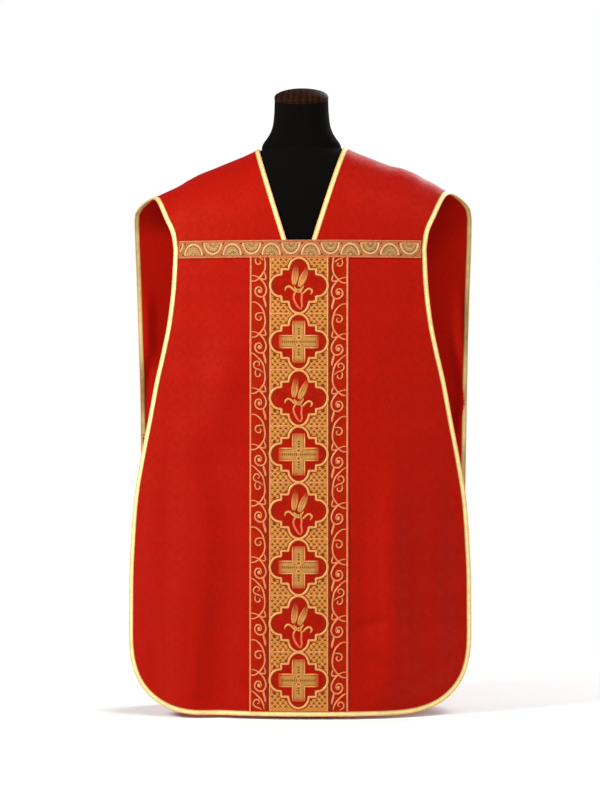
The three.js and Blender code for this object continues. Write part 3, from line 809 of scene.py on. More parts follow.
def ground_finish(name, colour, fleck, amount):
    """The close woven ground of the trims, with a fleck of another thread."""
    f = Finish(name, Roughness=0.66, Specular_IOR_Level=0.15, Specular_Tint=RED_GLEAM)
    place = f.cloth_place()
    flecks = f.ramp(f.noise(place, 0.0022, 1.0), (1 - amount - 0.08, 0.0), (1 - amount, 1.0))
    wear = f.ramp(f.noise(place, 0.02, 3.0), (0.3, 0.85), (0.7, 1.08))
    body = f.mix(flecks, tone(colour, 1), tone(fleck, 1))
    f.give("Base Color", f.mix(1.0, body, wear, "MULTIPLY"))
    f.bump(weave(f, place, 0.0014), 0.15, 0.8)
    return f.material


def lattice_finish():
    f = Finish("gold_lattice", Roughness=0.5, Metallic=0.2, Specular_IOR_Level=0.2, Specular_Tint=GILT_GLEAM)
    place = f.cloth_place()
    slanted = f.turned(place, 45)
    crossing = f.maths("MULTIPLY", f.bands(slanted, 0.0042, "X"), f.bands(slanted, 0.0042, "Y"))
    c = colours()
    blend = f.ramp(f.noise(place, 0.007, 2.0), (0.35, tone(c.lattice_olive, 1)), (0.62, tone(c.lattice, 1)))
    holes = f.ramp(crossing, (0.42, 0.0), (0.6, 0.7))
    f.give("Base Color", f.mix(holes, blend, tone(c.brown_thread, 1)))
    fine = f.bands(place, 0.0011, "Y")
    f.bump(f.maths("SUBTRACT", f.maths("MULTIPLY", fine, 0.4), crossing), 0.25, 0.8)
    return f.material


def thread_finish(name, colour, twist=0.0024, metallic=0.3, dark=0.62):
    """Gilt thread laid in twisted strands."""
    f = Finish(name, Metallic=metallic, Specular_IOR_Level=0.1 + metallic / 2, Specular_Tint=GILT_GLEAM)
    place = f.cloth_place()
    strands = f.bands(f.turned(place, 38), twist, "X", 0.6)
    wear = f.noise(place, 0.009, 3.0)
    laid = f.ramp(strands, (0.1, tone(colour, dark)), (0.62, tone(colour, 1.0)), (1.0, tone(colour, 1.1)))
    f.give("Base Color", f.mix(1.0, laid, f.ramp(wear, (0.3, 0.84), (0.7, 1.06)), "MULTIPLY"))
    f.give("Roughness", f.ramp(wear, (0.3, 0.5), (0.7, 0.34)))
    f.bump(strands, 0.22, 0.8)
    return f.material


def motif_finish(name, stops, ends=None):
    """Thread whose colour changes with the height over a medallion's middle, as rows of (height, colour)."""
    f = Finish(name, Roughness=0.5, Metallic=0.2, Specular_IOR_Level=0.2, Specular_Tint=GILT_GLEAM)
    place = f.cloth_place()
    parts = f.add("SeparateXYZ", {0: place}).outputs
    half = PITCH / 2 * MM
    over = f.maths("SUBTRACT", parts[1], FIRST_CENTRE * MM)
    over = f.add("Math", {0: over, 1: half, 2: -half}, operation="WRAP").outputs[0]
    share = f.maths("ADD", f.maths("MULTIPLY", over, 0.5 / half), 0.5)
    body = f.ramp(share, *((0.5 + height / PITCH, colour) for height, colour in stops))
    if ends:
        aside = f.maths("MULTIPLY", f.maths("ABSOLUTE", parts[0]), 1 / half)
        body = f.mix(f.ramp(aside, (0.5, 0.0), (0.7, 0.9)), body, ends)
    strands = f.bands(f.turned(place, 38), 0.0016, "X", 0.6)
    worn = f.ramp(f.noise(place, 0.007, 3.0), (0.3, 0.8), (0.7, 1.06))
    laid = f.mix(1.0, f.ramp(strands, (0.1, 0.72), (0.7, 1.0)), worn, "MULTIPLY")
    f.give("Base Color", f.mix(1.0, body, laid, "MULTIPLY"))
    f.bump(strands, 0.2, 0.8)
    return f.material


def cross_finish(name, middle):
    end, plain = tone(colours().wheat_tip, 1.15), tone(middle, 1)
    stops = [(-43, end), (-31, tone(middle, 0.96)), (0, plain), (31, tone(middle, 0.96)), (43, end)]
    return motif_finish(name, stops, end)


def wheat_finish():
    c = colours()
    stems, ears, tips = tone(c.wheat_stem, 1), tone(c.wheat, 1), tone(c.wheat_tip, 1)
    return motif_finish("wheat_thread", [(-46, stems), (-20, stems), (-12, ears), (8, ears), (38, tips)])


def braid_finish():
    """Gilt painted pale down the middle as a highlight and orange at the free side as shade, with a painted
    shadow as a dark line where it is sewn down.
    """
    f = Finish("gold_braid", Roughness=0.42, Metallic=0.2, Specular_IOR_Level=0.3)
    place = f.cloth_place()
    parts = f.add("SeparateXYZ", {0: place}).outputs
    across = f.maths("MULTIPLY", parts[1], 1000 / BRAID_WIDTH)  # 0 at the free side
    pale, side = colours().braid, colours().braid_shaded_side
    # Painted light across the braid: the pale middle is a painted highlight, the orange sides are painted
    # shade, and the dark end at the sewn side is a painted shadow.
    stops = [
        (0.0, side, 0.9), (0.16, side, 1.0), (0.3, pale, 0.92), (0.48, pale, 1.0), (0.68, pale, 0.96),
        (0.84, side, 0.9), (1.0, side, 0.42),
    ]
    laid = f.ramp(across, *((at, tone(colour, share)) for at, colour, share in stops))
    from_middle = f.maths("ABSOLUTE", f.maths("SUBTRACT", parts[1], BRAID_WIDTH / 2 * MM))
    slant = f.add("CombineXYZ", {0: f.maths("ADD", parts[0], from_middle)}).outputs[0]
    plait = f.bands(slant, sizes().braid_plait)
    shade = f.ramp(plait, (0.0, 0.72), (0.5, 1.0), (1.0, 1.05))
    wear = f.ramp(f.noise(place, 0.012, 3.0), (0.3, 0.82), (0.7, 1.05))
    f.give("Base Color", f.mix(1.0, f.mix(1.0, laid, shade, "MULTIPLY"), wear, "MULTIPLY"))
    f.bump(f.maths("ADD", plait, f.maths("MULTIPLY", f.bands(place, 0.0008), 0.3)), 0.3, 0.8)
    return f.material


def jersey_finish():
    f = Finish("black_jersey", Roughness=0.95, Specular_IOR_Level=0.06)
    place = f.cloth_place()
    black = colours().jersey
    f.give("Base Color", f.ramp(f.noise(place, 0.003, 3.0), (0.3, tone(black, 0.7)), (0.7, tone(black, 1.4))))
    f.bump(weave(f, f.turned(place, 45), 0.0014), 0.12, 0.8)
    return f.material


def wood_finish():
    f = Finish("dark_wood", Specular_IOR_Level=0.02, Specular_Tint=GILT_GLEAM)
    place = f.turned(f.solid_place(), scale=(1, 0.18, 1))
    grain = f.noise(place, 0.004, 5.0, 0.8)
    broad = f.bands(place, 0.012, "X", 3.5)
    brown = colours().wood
    figure = f.maths("ADD", f.maths("MULTIPLY", grain, 0.6), f.maths("MULTIPLY", broad, 0.4))
    f.give("Base Color", f.ramp(figure, (0.25, tone(brown, 0.55)), (0.75, tone(brown, 1.5))))
    f.give("Roughness", f.ramp(grain, (0.3, 0.45), (0.7, 0.6)))
    f.bump(grain, 0.06, 0.5)
    return f.material


def steel_finish():
    f = Finish("brushed_steel", Metallic=1.0)
    place = f.turned(f.solid_place(), scale=(1, 1, 14))
    brushed = f.noise(place, 0.006, 4.0)
    grey = colours().steel
    f.give("Base Color", f.ramp(brushed, (0.3, tone(grey, 0.86)), (0.7, tone(grey, 1.06))))
    f.give("Roughness", f.ramp(f.noise(f.solid_place(), 0.03, 3.0), (0.3, 0.24), (0.7, 0.36)))
    f.bump(brushed, 0.02, 0.5)
    return f.material


def paper_finish():
    """Pale paper that fades out before the floor's rim, where the white surroundings go on."""
    f = Finish("studio_paper")
    place = f.solid_place()
    paper = colours().paper
    f.give("Base Color", f.ramp(f.noise(place, 0.4), (0.3, tone(paper, 0.99)), (0.7, tone(paper, 1.0))))
    f.give("Roughness", f.ramp(f.noise(place, 0.1), (0.3, 0.9), (0.7, 0.95)))
    from_middle = f.add("VectorMath", {0: place}, operation="LENGTH").outputs["Value"]
    f.give("Alpha", f.ramp(f.maths("MULTIPLY", from_middle, 1 / FLOOR_RADIUS), (0.25, 1.0), (0.95, 0.0)))
    return f.material


FINISHES = {}


def finish(name):
    """A finish by name, made once."""
    if name not in FINISHES:
        c = colours()
        makers = {
            "damask": damask_finish,
            "lining": lining_finish,
            "orphrey_ground": lambda: ground_finish("orphrey_ground", c.orphrey_ground, c.dark_thread, 0.35),
            "medallion_ground": lambda: ground_finish("medallion_ground", c.medallion, c.orphrey_ground, 0.4),
            "galloon_ground": lambda: ground_finish("galloon_ground", c.galloon, c.brown_thread, 0.35),
            "khaki_ground": lambda: ground_finish("khaki_ground", c.khaki_thread, c.brown_thread, 0.3),
            "lattice": lattice_finish,
            "peach_thread": lambda: thread_finish("peach_thread", c.peach_thread),
            "rose_thread": lambda: thread_finish("rose_thread", c.rose_thread),
            "soft_thread": lambda: thread_finish("soft_thread", c.soft_thread, 0.0016),
            "cross_cloth": lambda: cross_finish("cross_cloth", c.cross),
            "motif_thread": lambda: cross_finish("motif_thread", c.peach_thread),
            "wheat_thread": wheat_finish,
            "dark_thread": lambda: thread_finish("dark_thread", c.dark_thread, 0.0016, 0.0, 0.8),
            "brown_thread": lambda: thread_finish("brown_thread", c.brown_thread, 0.0016, 0.0, 0.8),
            "cream_thread": lambda: thread_finish("cream_thread", c.cream_thread, 0.0024, 0.15, 0.8),
            "galloon_rim": lambda: thread_finish("galloon_rim", c.galloon_rim, 0.0016, 0.15, 0.8),
            "khaki_thread": lambda: thread_finish("khaki_thread", c.khaki_thread, 0.0016, 0.3),
            "braid": braid_finish,
            "jersey": jersey_finish,
            "wood": wood_finish,
            "steel": steel_finish,
        }
        FINISHES[name] = makers[name]()
    return FINISHES[name]


# Garment
DAMASK_THICKNESS = 1.4
LINING_FACES = (-1.55, -2.4)  # from the damask's outer face


def build_cloth():
    damask, lining = finish("damask"), finish("lining")
    back = back_grid()
    for grid, node in ((front_grid(), "front_panel"), (back, "back_panel")):
        cloth_piece(node + "_damask", grid, 0, -DAMASK_THICKNESS, damask, "red_damask", node, lining)
    cloth_piece("back_lining_satin", back, *LINING_FACES, lining, "red_lining", "back_lining")


BRAID_PROFILE = np.array([
    (1.0, 0.0), (0.98, 0.42), (0.88, 0.78), (0.72, 0.86), (0.56, 0.7), (0.3, 0.88), (0.0, 1.0),
    (-0.3, 0.88), (-0.56, 0.7), (-0.72, 0.86), (-0.88, 0.78), (-0.98, 0.42), (-1.0, 0.0),
    (-0.86, -0.8), (0.0, -0.95), (0.86, -0.8),
])
BRAID_HALF_THICKNESS = 1.9
BRAID_SINK = 1.0
RIBS = 3  # stations to each plait


def braid(heap, path, closed):
    """A plaited ribbon whose free side follows a path of the cloth."""
    plait = sizes().braid_plait / MM
    loop = np.concatenate([path, path[:1]]) if closed else path
    run = distances(drape(*loop.T))
    count = int(round(run[-1] / (plait / RIBS)))
    count -= count % RIBS
    at = np.linspace(0, run[-1], count, endpoint=not closed)
    stations = points_at(at, run, loop)
    sewn = moved_in(stations, BRAID_WIDTH, closed)
    free_point, sewn_point = drape(*stations.T), drape(*sewn.T)
    normal = unit(outward(*stations.T) + outward(*sewn.T))
    middle = (free_point + sewn_point) / 2 - normal * BRAID_SINK
    across = (free_point - sewn_point) / 2
    u, v = BRAID_PROFILE.T
    phase = at[:, None] / plait + np.abs(u) * BRAID_WIDTH / 2 / plait
    swell = 1 + np.where(v > 0.5, 0.16 * np.cos(2 * math.pi * phase) - 0.06, 0)
    height = v * swell * BRAID_HALF_THICKNESS
    points = middle[:, None] + across[:, None] * u[:, None] + normal[:, None] * height[..., None]
    flat = np.stack(np.broadcast_arrays(at[:, None], (1 - u) / 2 * BRAID_WIDTH), -1)
    heap.add(points, ring_faces(count, len(BRAID_PROFILE), closed), flat * MM)


STITCH_SIZE = (0.32, 1.6, 0.4)  # half width, half length and rise
STITCH_AHEAD = 0.4  # to the point that gives a stitch its way
SEAM_OFFSET = 0.9  # from the edge of a trim to the stitches that hold it


def sew(heap, path, closed=False):
    """A row of small stitches along a path of the cloth."""
    pitch = sizes().stitch_pitch / MM
    loop = np.concatenate([path, path[:1]]) if closed else path
    run = distances(drape(*loop.T))
    at = np.arange(pitch / 2, run[-1], pitch)
    centre = points_at(at, run, loop)
    normal, origin = outward(*centre.T), drape(*centre.T)
    along = drape(*points_at(at + STITCH_AHEAD, run, loop).T) - origin
    place(heap, BEAD, origin, along, normal, STITCH_SIZE, cloth_map(*centre.T))


def build_braids():
    edge, neck, seams = Heap(), Heap(), Heap()
    neck_path = neckline(NECK_BRAID_START)
    braid(edge, outline, True)
    braid(neck, neck_path, False)
    edge.make("edge_braid_gilt", finish("braid"), "gold_braid", ("edge_braid",))
    neck.make("neck_braid_gilt", finish("braid"), "gold_braid", ("neck_braid",))
    sew(seams, moved_in(outline, BRAID_WIDTH + SEAM_OFFSET), closed=True)
    sew(seams, moved_in(neck_path, BRAID_WIDTH + SEAM_OFFSET, False)[1:-1])
    seams.make("braid_stitches", finish("dark_thread"), "gold_braid")


ORPHREY_BOTTOM = HEM_HEIGHT + BRAID_WIDTH + 0.3
ORPHREY_TOP = GALLOON_BOTTOM + 3


def front_strip(heap, half, bottom, top, lift, rise, columns, rows):
    """A band of cloth laid on the front, level at its ends."""
    x, height = np.meshgrid(np.linspace(-half, half, columns), np.linspace(top, bottom, rows))
    points, faces, flat, _ = wall(x, front_travel(x, height), lift + rise, lift)
    heap.add(points, faces, np.concatenate([np.stack([x.ravel(), height.ravel()], -1)] * 2) * MM)


def mirrored_pair(heap, path, width, rise, lift):
    for side in (1, -1):
        cord(heap, path * (side, 1), width, rise, lift)


# Strands of a scroll border, rows of (distance from the middle, height over the medallion's centre)
SPIRAL = [
    (92.5, 19.5), (86, 19.2), (80.5, 17.4), (76.2, 14.7), (68.4, 6.3), (63.6, -3.4), (63, -11.8),
    (67.2, -19.8), (75.2, -21.6), (82.3, -17), (84.2, -9.6), (80.4, -3.2), (74.4, -3.2), (71.6, -8),
    (73, -13.2), (76.6, -13.4),
]
RETURN = [(92.5, 8.7), (84, 9.6), (76.2, 14.7), (70.6, 21.6), (67.4, 27)]
LOOP = [(75.4, 14.6), (69.4, 12.4), (64.2, 12.8), (64.0, 18), (66.4, 25)]
TAIL = [(67.6, -20.5), (67, -26.3), (64.6, -34.7), (63.6, -42)]
ARC_END = [(64.8, -66), (65.2, -74), (67.7, -82.2), (76.2, -93.7), (84, -99), (92.5, -99.7)]
LOW_ARC = [(92.5, -31.7), (84, -31.9), (76, -37.6), (70, -45.4), (66.9, -54)] + ARC_END
HIGH_ARC = [(92.5, -21.2), (86.4, -23.6), (79.2, -30.3), (72.5, -37.5), (67.9, -46), (66.2, -54.6)] + ARC_END
LONE_CURL = [
    (67.6, -53.4), (74, -52.4), (81, -54.4), (83.6, -60), (80.6, -65.6), (75, -66.6), (72.2, -62),
    (75.4, -58.6),
]
UPPER_CURL = [
    (68.6, -59.4), (75.4, -54), (82.2, -51.8), (86.6, -47.6), (86, -41.4), (81.4, -37.6), (76.4, -39.6),
    (75.8, -44.4), (79.6, -46),
]
LOWER_CURL = [(82.6, -54), (84, -60.4), (82, -65.6), (78, -67.2), (73.9, -64), (75.6, -60)]


def build_orphrey():
    width, rise = sizes().scroll_width / MM, sizes().relief / MM
    ground, column, lines, dots, scrolls, bulbs, shades = (Heap() for _ in range(7))
    front_strip(ground, ORPHREY_HALF, ORPHREY_BOTTOM, ORPHREY_TOP, 0.1, ORPHREY_LIFT - 0.1, 61, 240)
    front_strip(column, COLUMN_HALF, ORPHREY_BOTTOM, ORPHREY_TOP, ORPHREY_LIFT, 0.3, 39, 240)
    down = np.array([(0.0, ORPHREY_TOP), (0.0, ORPHREY_BOTTOM)])
    run = spaced(down, 3.5)
    mirrored_pair(lines, run + (EDGE_LINE_X, 0), 3.6, 1.0, ORPHREY_LIFT)
    mirrored_pair(shades, run + (EDGE_LINE_X - 2.6, 0), 1.6, 0.3, ORPHREY_LIFT)
    rail = spaced(down, 3.0) + (COLUMN_HALF + 3.6, 0)
    for side in (1, -1):
        scatter(dots, BEAD, rail * (side, 1), 0, (1.3, 1.2, 0.6), ORPHREY_LIFT)
    mirrored_pair(shades, run + (COLUMN_HALF + 3.6, 0), 4.4, 0.3, ORPHREY_LIFT)
    for number in range(MEDALLIONS + 1):
        centre = FIRST_CENTRE + PITCH - number * PITCH
        strands = [(SPIRAL, 1.0), (RETURN, 0.9), (LOOP, 0.9), (TAIL, 1.3)]
        strands += [(LOW_ARC, 1.0), (LONE_CURL, 0.9)] if number % 2 else [
            (HIGH_ARC, 1.0), (UPPER_CURL, 0.85), (LOWER_CURL, 0.85)]
        for strand, share in strands:
            wide = width * share
            path = curve(np.array(strand, float) * (-1, 1) + (0, centre), 1.6)
            for side, drop in ((1, 0), (-1, 4)):
                kept = path * (side, 1) - (0, drop)
                kept = kept[(kept[:, 1] < ORPHREY_TOP - 1) & (kept[:, 1] > ORPHREY_BOTTOM + 2)]
                if len(kept) > 4:
                    cord(scrolls, kept, wide, rise, ORPHREY_LIFT + 0.15, ends=0.5)
                    cord(shades, kept, wide + 3.0, 0.35, ORPHREY_LIFT, ends=0.6)
        for side, drop in ((-1, 0), (1, 4)):
            spot = np.array([(side * 76.4, centre - 10.4 - drop)])
            if ORPHREY_BOTTOM + 6 < spot[0, 1] < ORPHREY_TOP - 6:
                scatter(bulbs, BEAD, spot, 0, (3.4, 4.2, rise * 1.3), ORPHREY_LIFT)
    ground.make("orphrey_ground", finish("orphrey_ground"), "orphrey", ("front_orphrey",))
    column.make("orphrey_column", finish("lattice"), "orphrey")
    lines.make("orphrey_edge_lines", finish("rose_thread"), "orphrey")
    dots.make("orphrey_dotted_rails", finish("dark_thread"), "orphrey")
    scrolls.make("orphrey_scrolls", finish("rose_thread"), "orphrey")
    bulbs.make("orphrey_bulbs", finish("soft_thread"), "orphrey")
    shades.make("orphrey_shades", finish("dark_thread"), "orphrey")
    seams = Heap()
    height = np.linspace(ORPHREY_TOP, ORPHREY_BOTTOM, 200)
    for side in (1, -1):
        sew(seams, pairs(side * (ORPHREY_HALF + 0.7), height_travel(height, -1)))
    seams.make("orphrey_stitches", finish("dark_thread"), "orphrey")


def arc(centre_x, centre_z, half_x, half_z, start, end, steps=22):
    angle = np.radians(np.linspace(start, end, steps))
    return np.stack([centre_x + half_x * np.cos(angle), centre_z + half_z * np.sin(angle)], -1)


# Quatrefoil with stepped corners, and the step's two corners
LOBE_TOP = (0, 31.5, 19.5, 22.0)
LOBE_SIDE = (35.8, 0, 19.7, 21.0)
STEP = [(33.4, 31.5), (33.4, 21.0)]


def medallion_edge():
    quarter = np.concatenate([
        arc(*LOBE_SIDE, 0, 90, 14), np.array(STEP[::-1], float), arc(*LOBE_TOP, 0, 90, 14),
    ])
    half = np.concatenate([quarter, quarter[-2::-1] * (-1, 1)])
    return np.concatenate([half, half[-2:0:-1] * (1, -1)])


ARM_HALF, ARM_LENGTH = 12.2, 40.5
BAR_HALF, BAR_LENGTH = 12.8, 38.6
CROSS_RISE = 0.5
CORNERS = ((1, 1), (-1, 1), (-1, -1), (1, -1))


def cross_edge():
    quarter = np.array([(BAR_LENGTH, BAR_HALF), (ARM_HALF, BAR_HALF), (ARM_HALF, ARM_LENGTH)])
    half = np.concatenate([quarter, quarter[::-1] * (-1, 1)])
    return np.concatenate([half, half[::-1] * (1, -1)])


def closed_path(edge, step):
    """A closed outline with evenly spaced points, its first one not repeated."""
    return spaced(np.concatenate([edge, edge[:1]]), step)[:-1]


FILL_LIFT = ORPHREY_LIFT + 0.3
MOTIF_LIFT = FILL_LIFT + 0.3
EARS = [((-9.4, 1.5), (-5.2, 39.5)), ((1.0, -1.5), (15.2, 31.0))]
# Stems and leaves, as rows of points with the width of each stroke
STROKES = [
    (4.0, [
        (-1.5, -13), (-8.8, -9.6), (-12.9, -5.2), (-18.4, -1.8), (-22.7, -2.5), (-26, -6.4), (-26.2, -10),
    ]),
    (4.0, [(4.6, -15), (8.6, -14.6), (12.6, -10.4), (18.1, -6.4), (22.9, -7.2), (25.6, -12), (22, -17.6)]),
    (4.2, [(-3.5, -10), (-8.1, -15.6), (-9.9, -23.2), (-6.7, -32.8), (-1.9, -41), (3.4, -46.4)]),
    (4.0, [(3.6, -12), (5.8, -19), (5.2, -30), (6.4, -38.3), (3.8, -46.4)]),
    (2.8, [(-9, -2), (-6.4, -7), (-1, -12)]),
    (3.2, [(9.4, -0.6), (6.4, -6), (1.4, -12)]),
]


def wheat_ear(heap, foot, tip):
    """Grains in pairs up a stalk, with short awns."""
    foot, tip = np.array(foot), np.array(tip)
    way = unit(tip - foot)
    side = np.array([way[1], -way[0]])
    lean = math.degrees(math.atan2(way[0], way[1]))
    for at in np.linspace(0.08, 0.93, 10):
        spot = foot + (tip - foot) * at
        wide = 0.5 + 0.62 * math.sin(math.pi * at**0.85)
        for hand in (1, -1):
            grain = spot + side * hand * 3.7 * wide
            scatter(heap, LEAF, [grain], lean + hand * 16, (2.4 * wide, 4.6, 1.1), MOTIF_LIFT)
        scatter(heap, LEAF, [spot], lean, (2.2 * wide, 4.2, 1.6), MOTIF_LIFT)
    for reach in (-3.0, 0.0, 3.0):
        awn = np.array([tip - way * 3 + side * reach * 0.5, tip + way * (4.0 - abs(reach)) + side * reach])
        cord(heap, spaced(awn, 1.5), 1.0, 0.6, MOTIF_LIFT, ends=0.4)


def wheat_sheaf(heap, centre, rise):
    for foot, tip in EARS:
        wheat_ear(heap, foot + centre, tip + centre)
    for wide, stroke in STROKES:
        cord(heap, curve(np.array(stroke, float) + centre, 1.5), wide, rise, MOTIF_LIFT, ends=0.35)
    knot = np.concatenate([arc(0.4, -10.4, 4.0, 2.8, 0, 315, 8), [(0.4, -10.4), (5, -6), (-5, -6.4)]])
    scatter(heap, BEAD, knot + centre, 0, (2.0, 1.8, 1.6), MOTIF_LIFT)


def cross_lines(rims, holes, centre, rise):
    """A cross's four corners with an inner line each, the spots along its arms and two small rings."""
    inner_corner = (ARM_HALF - 1.0, BAR_HALF - 1.2)
    upright = np.array([inner_corner, (inner_corner[0], ARM_LENGTH)])
    level = np.array([inner_corner, (BAR_LENGTH, inner_corner[1])])
    for corner in CORNERS:
        for line, inwards in ((upright, (-2.3, 0)), (level, (0, -2.3))):
            cord(rims, spaced(line * corner + centre, 1.6), 2.9, rise, MOTIF_LIFT + 0.4, ends=0.6)
            inner = spaced((line + inwards) * corner + centre, 1.6)
            cord(holes, inner, 1.0, 0.3, MOTIF_LIFT + 0.4, ends=0.6)
    top = MOTIF_LIFT + CROSS_RISE
    for hand in (1, -1):
        for x in np.arange(4.0, 35.0, 3.9):
            scatter(holes, BEAD, [centre + (hand * x, 0)], 0, (1.1, 2.7, 0.4), top)
        for z in (7.6, 15.0, 20.0, 25.0):
            scatter(holes, BEAD, [centre + (0, hand * z)], 0, (2.3, 1.6, 0.4), top)
        cord(rims, arc(0, hand * 7.6, 4.2, 4.2, 0, 345, 14) + centre, 1.4, 0.7, top, closed=True)
        for x in (-7.2, 7.2):
            scatter(holes, BEAD, [centre + (x, hand * 5.5)], 0, (1.0, 1.0, 0.4), top)


# The net between two medallions: dark holes and bright knots, staggered from the joint outwards
NET_START = (19.15, 4.1)
NET_STEP = (5.25, 6.2)


def within(edge, points):
    """Which points lie inside a closed outline."""
    x, z = points.T
    count = np.zeros(len(points), int)
    for (ax, az), (bx, bz) in zip(edge, np.roll(edge, -1, 0)):
        crosses = (az > z) != (bz > z)
        where = ax + (z - az) * (bx - ax) / (bz - az if bz != az else 1)
        count += crosses & (x < where)
    return count % 2 == 1


def filigree(knots, holes, edge):
    column, row = (grid.ravel() for grid in np.meshgrid(np.arange(7), np.arange(5)))
    quarter = np.stack([column, row], -1) * NET_STEP + NET_START
    clear = ~within(edge * 1.08, quarter - (0, PITCH / 2))
    is_hole = (column + row) % 2 == 1
    for number in range(MEDALLIONS + 1):
        joint = FIRST_CENTRE - (number - 0.5) * PITCH
        for corner in CORNERS:
            spots = quarter * corner + (0, joint)
            shown = clear & (spots[:, 1] < ORPHREY_TOP - 4) & (spots[:, 1] > ORPHREY_BOTTOM + 3)
            if shown.any():
                scatter(holes, BEAD, spots[shown & is_hole], 0, (2.6, 1.9, 0.35), FILL_LIFT)
                scatter(knots, BEAD, spots[shown & ~is_hole], 0, (2.0, 1.6, 1.2), FILL_LIFT)
                slot = np.array([(47.5, 29.3)]) * corner + (0, joint)
                scatter(holes, LEAF, slot, corner[0] * corner[1] * 62, (3.0, 5.0, 0.4), FILL_LIFT)
    side = COLUMN_HALF - 1.6
    for hand in (1, -1):
        rail = spaced(np.array([(hand * side, ORPHREY_TOP), (hand * side, ORPHREY_BOTTOM)]), 3.0)
        cord(knots, rail, 2.4, 0.9, FILL_LIFT)


def build_medallions():
    width, rise = sizes().medallion_cord / MM, sizes().relief / MM
    fills, borders, crosses, wheat, stems, rims, holes, shades = (Heap() for _ in range(8))
    edge, cross = medallion_edge(), cross_edge()
    for number in range(MEDALLIONS):
        centre = np.array([0, FIRST_CENTRE - number * PITCH])
        patch(fills, edge + centre, FILL_LIFT, 0.3)
        cord(borders, closed_path(edge, 1.6) + centre, width, rise * 1.25, FILL_LIFT, closed=True)
        cord(shades, closed_path(edge * 0.925, 2.0) + centre, 3.0, 0.3, FILL_LIFT + 0.3, closed=True)
        cord(shades, closed_path(edge, 2.0) + centre, width + 3.4, 0.4, FILL_LIFT, closed=True)
        if number % 2:
            patch(crosses, cross + centre, MOTIF_LIFT, CROSS_RISE)
            cross_lines(rims, holes, centre, rise)
        else:
            wheat_sheaf(wheat, centre, rise)
        joint = centre + (0, PITCH / 2)
        if number:
            for hand in (1, -1):
                stem = np.array([(12.0, 0), (34, 0.6), (53, 0)]) * (hand, 1) + joint
                cord(stems, curve(stem, 2.0), 2.2, rise * 0.8, FILL_LIFT, ends=0.4)
                buds = [joint + (hand * x, 0) for x in (22, 31, 40, 53)]
                scatter(stems, BEAD, buds, 0, (2.4, 2.0, 1.4), FILL_LIFT)
    filigree(stems, holes, edge)
    fills.make("medallion_grounds", finish("medallion_ground"), "orphrey")
    borders.make("medallion_borders", finish("peach_thread"), "orphrey")
    crosses.make("medallion_crosses", finish("cross_cloth"), "orphrey")
    wheat.make("medallion_wheat", finish("wheat_thread"), "orphrey")
    stems.make("medallion_stems", finish("soft_thread"), "orphrey")
    rims.make("medallion_cross_rims", finish("motif_thread"), "orphrey")
    holes.make("medallion_holes", finish("brown_thread"), "orphrey")
    shades.make("medallion_shades", finish("dark_thread"), "orphrey")


GALLOON_LIFT = 0.6
SHELL_PITCH = 38.0
FIRST_SHELL = -15.4  # middle of a hanging shell
SHELL_SIZE = (16.9, 21.4)  # half width and depth, to the middle of its outline
SHELL_FOOT = 5.2


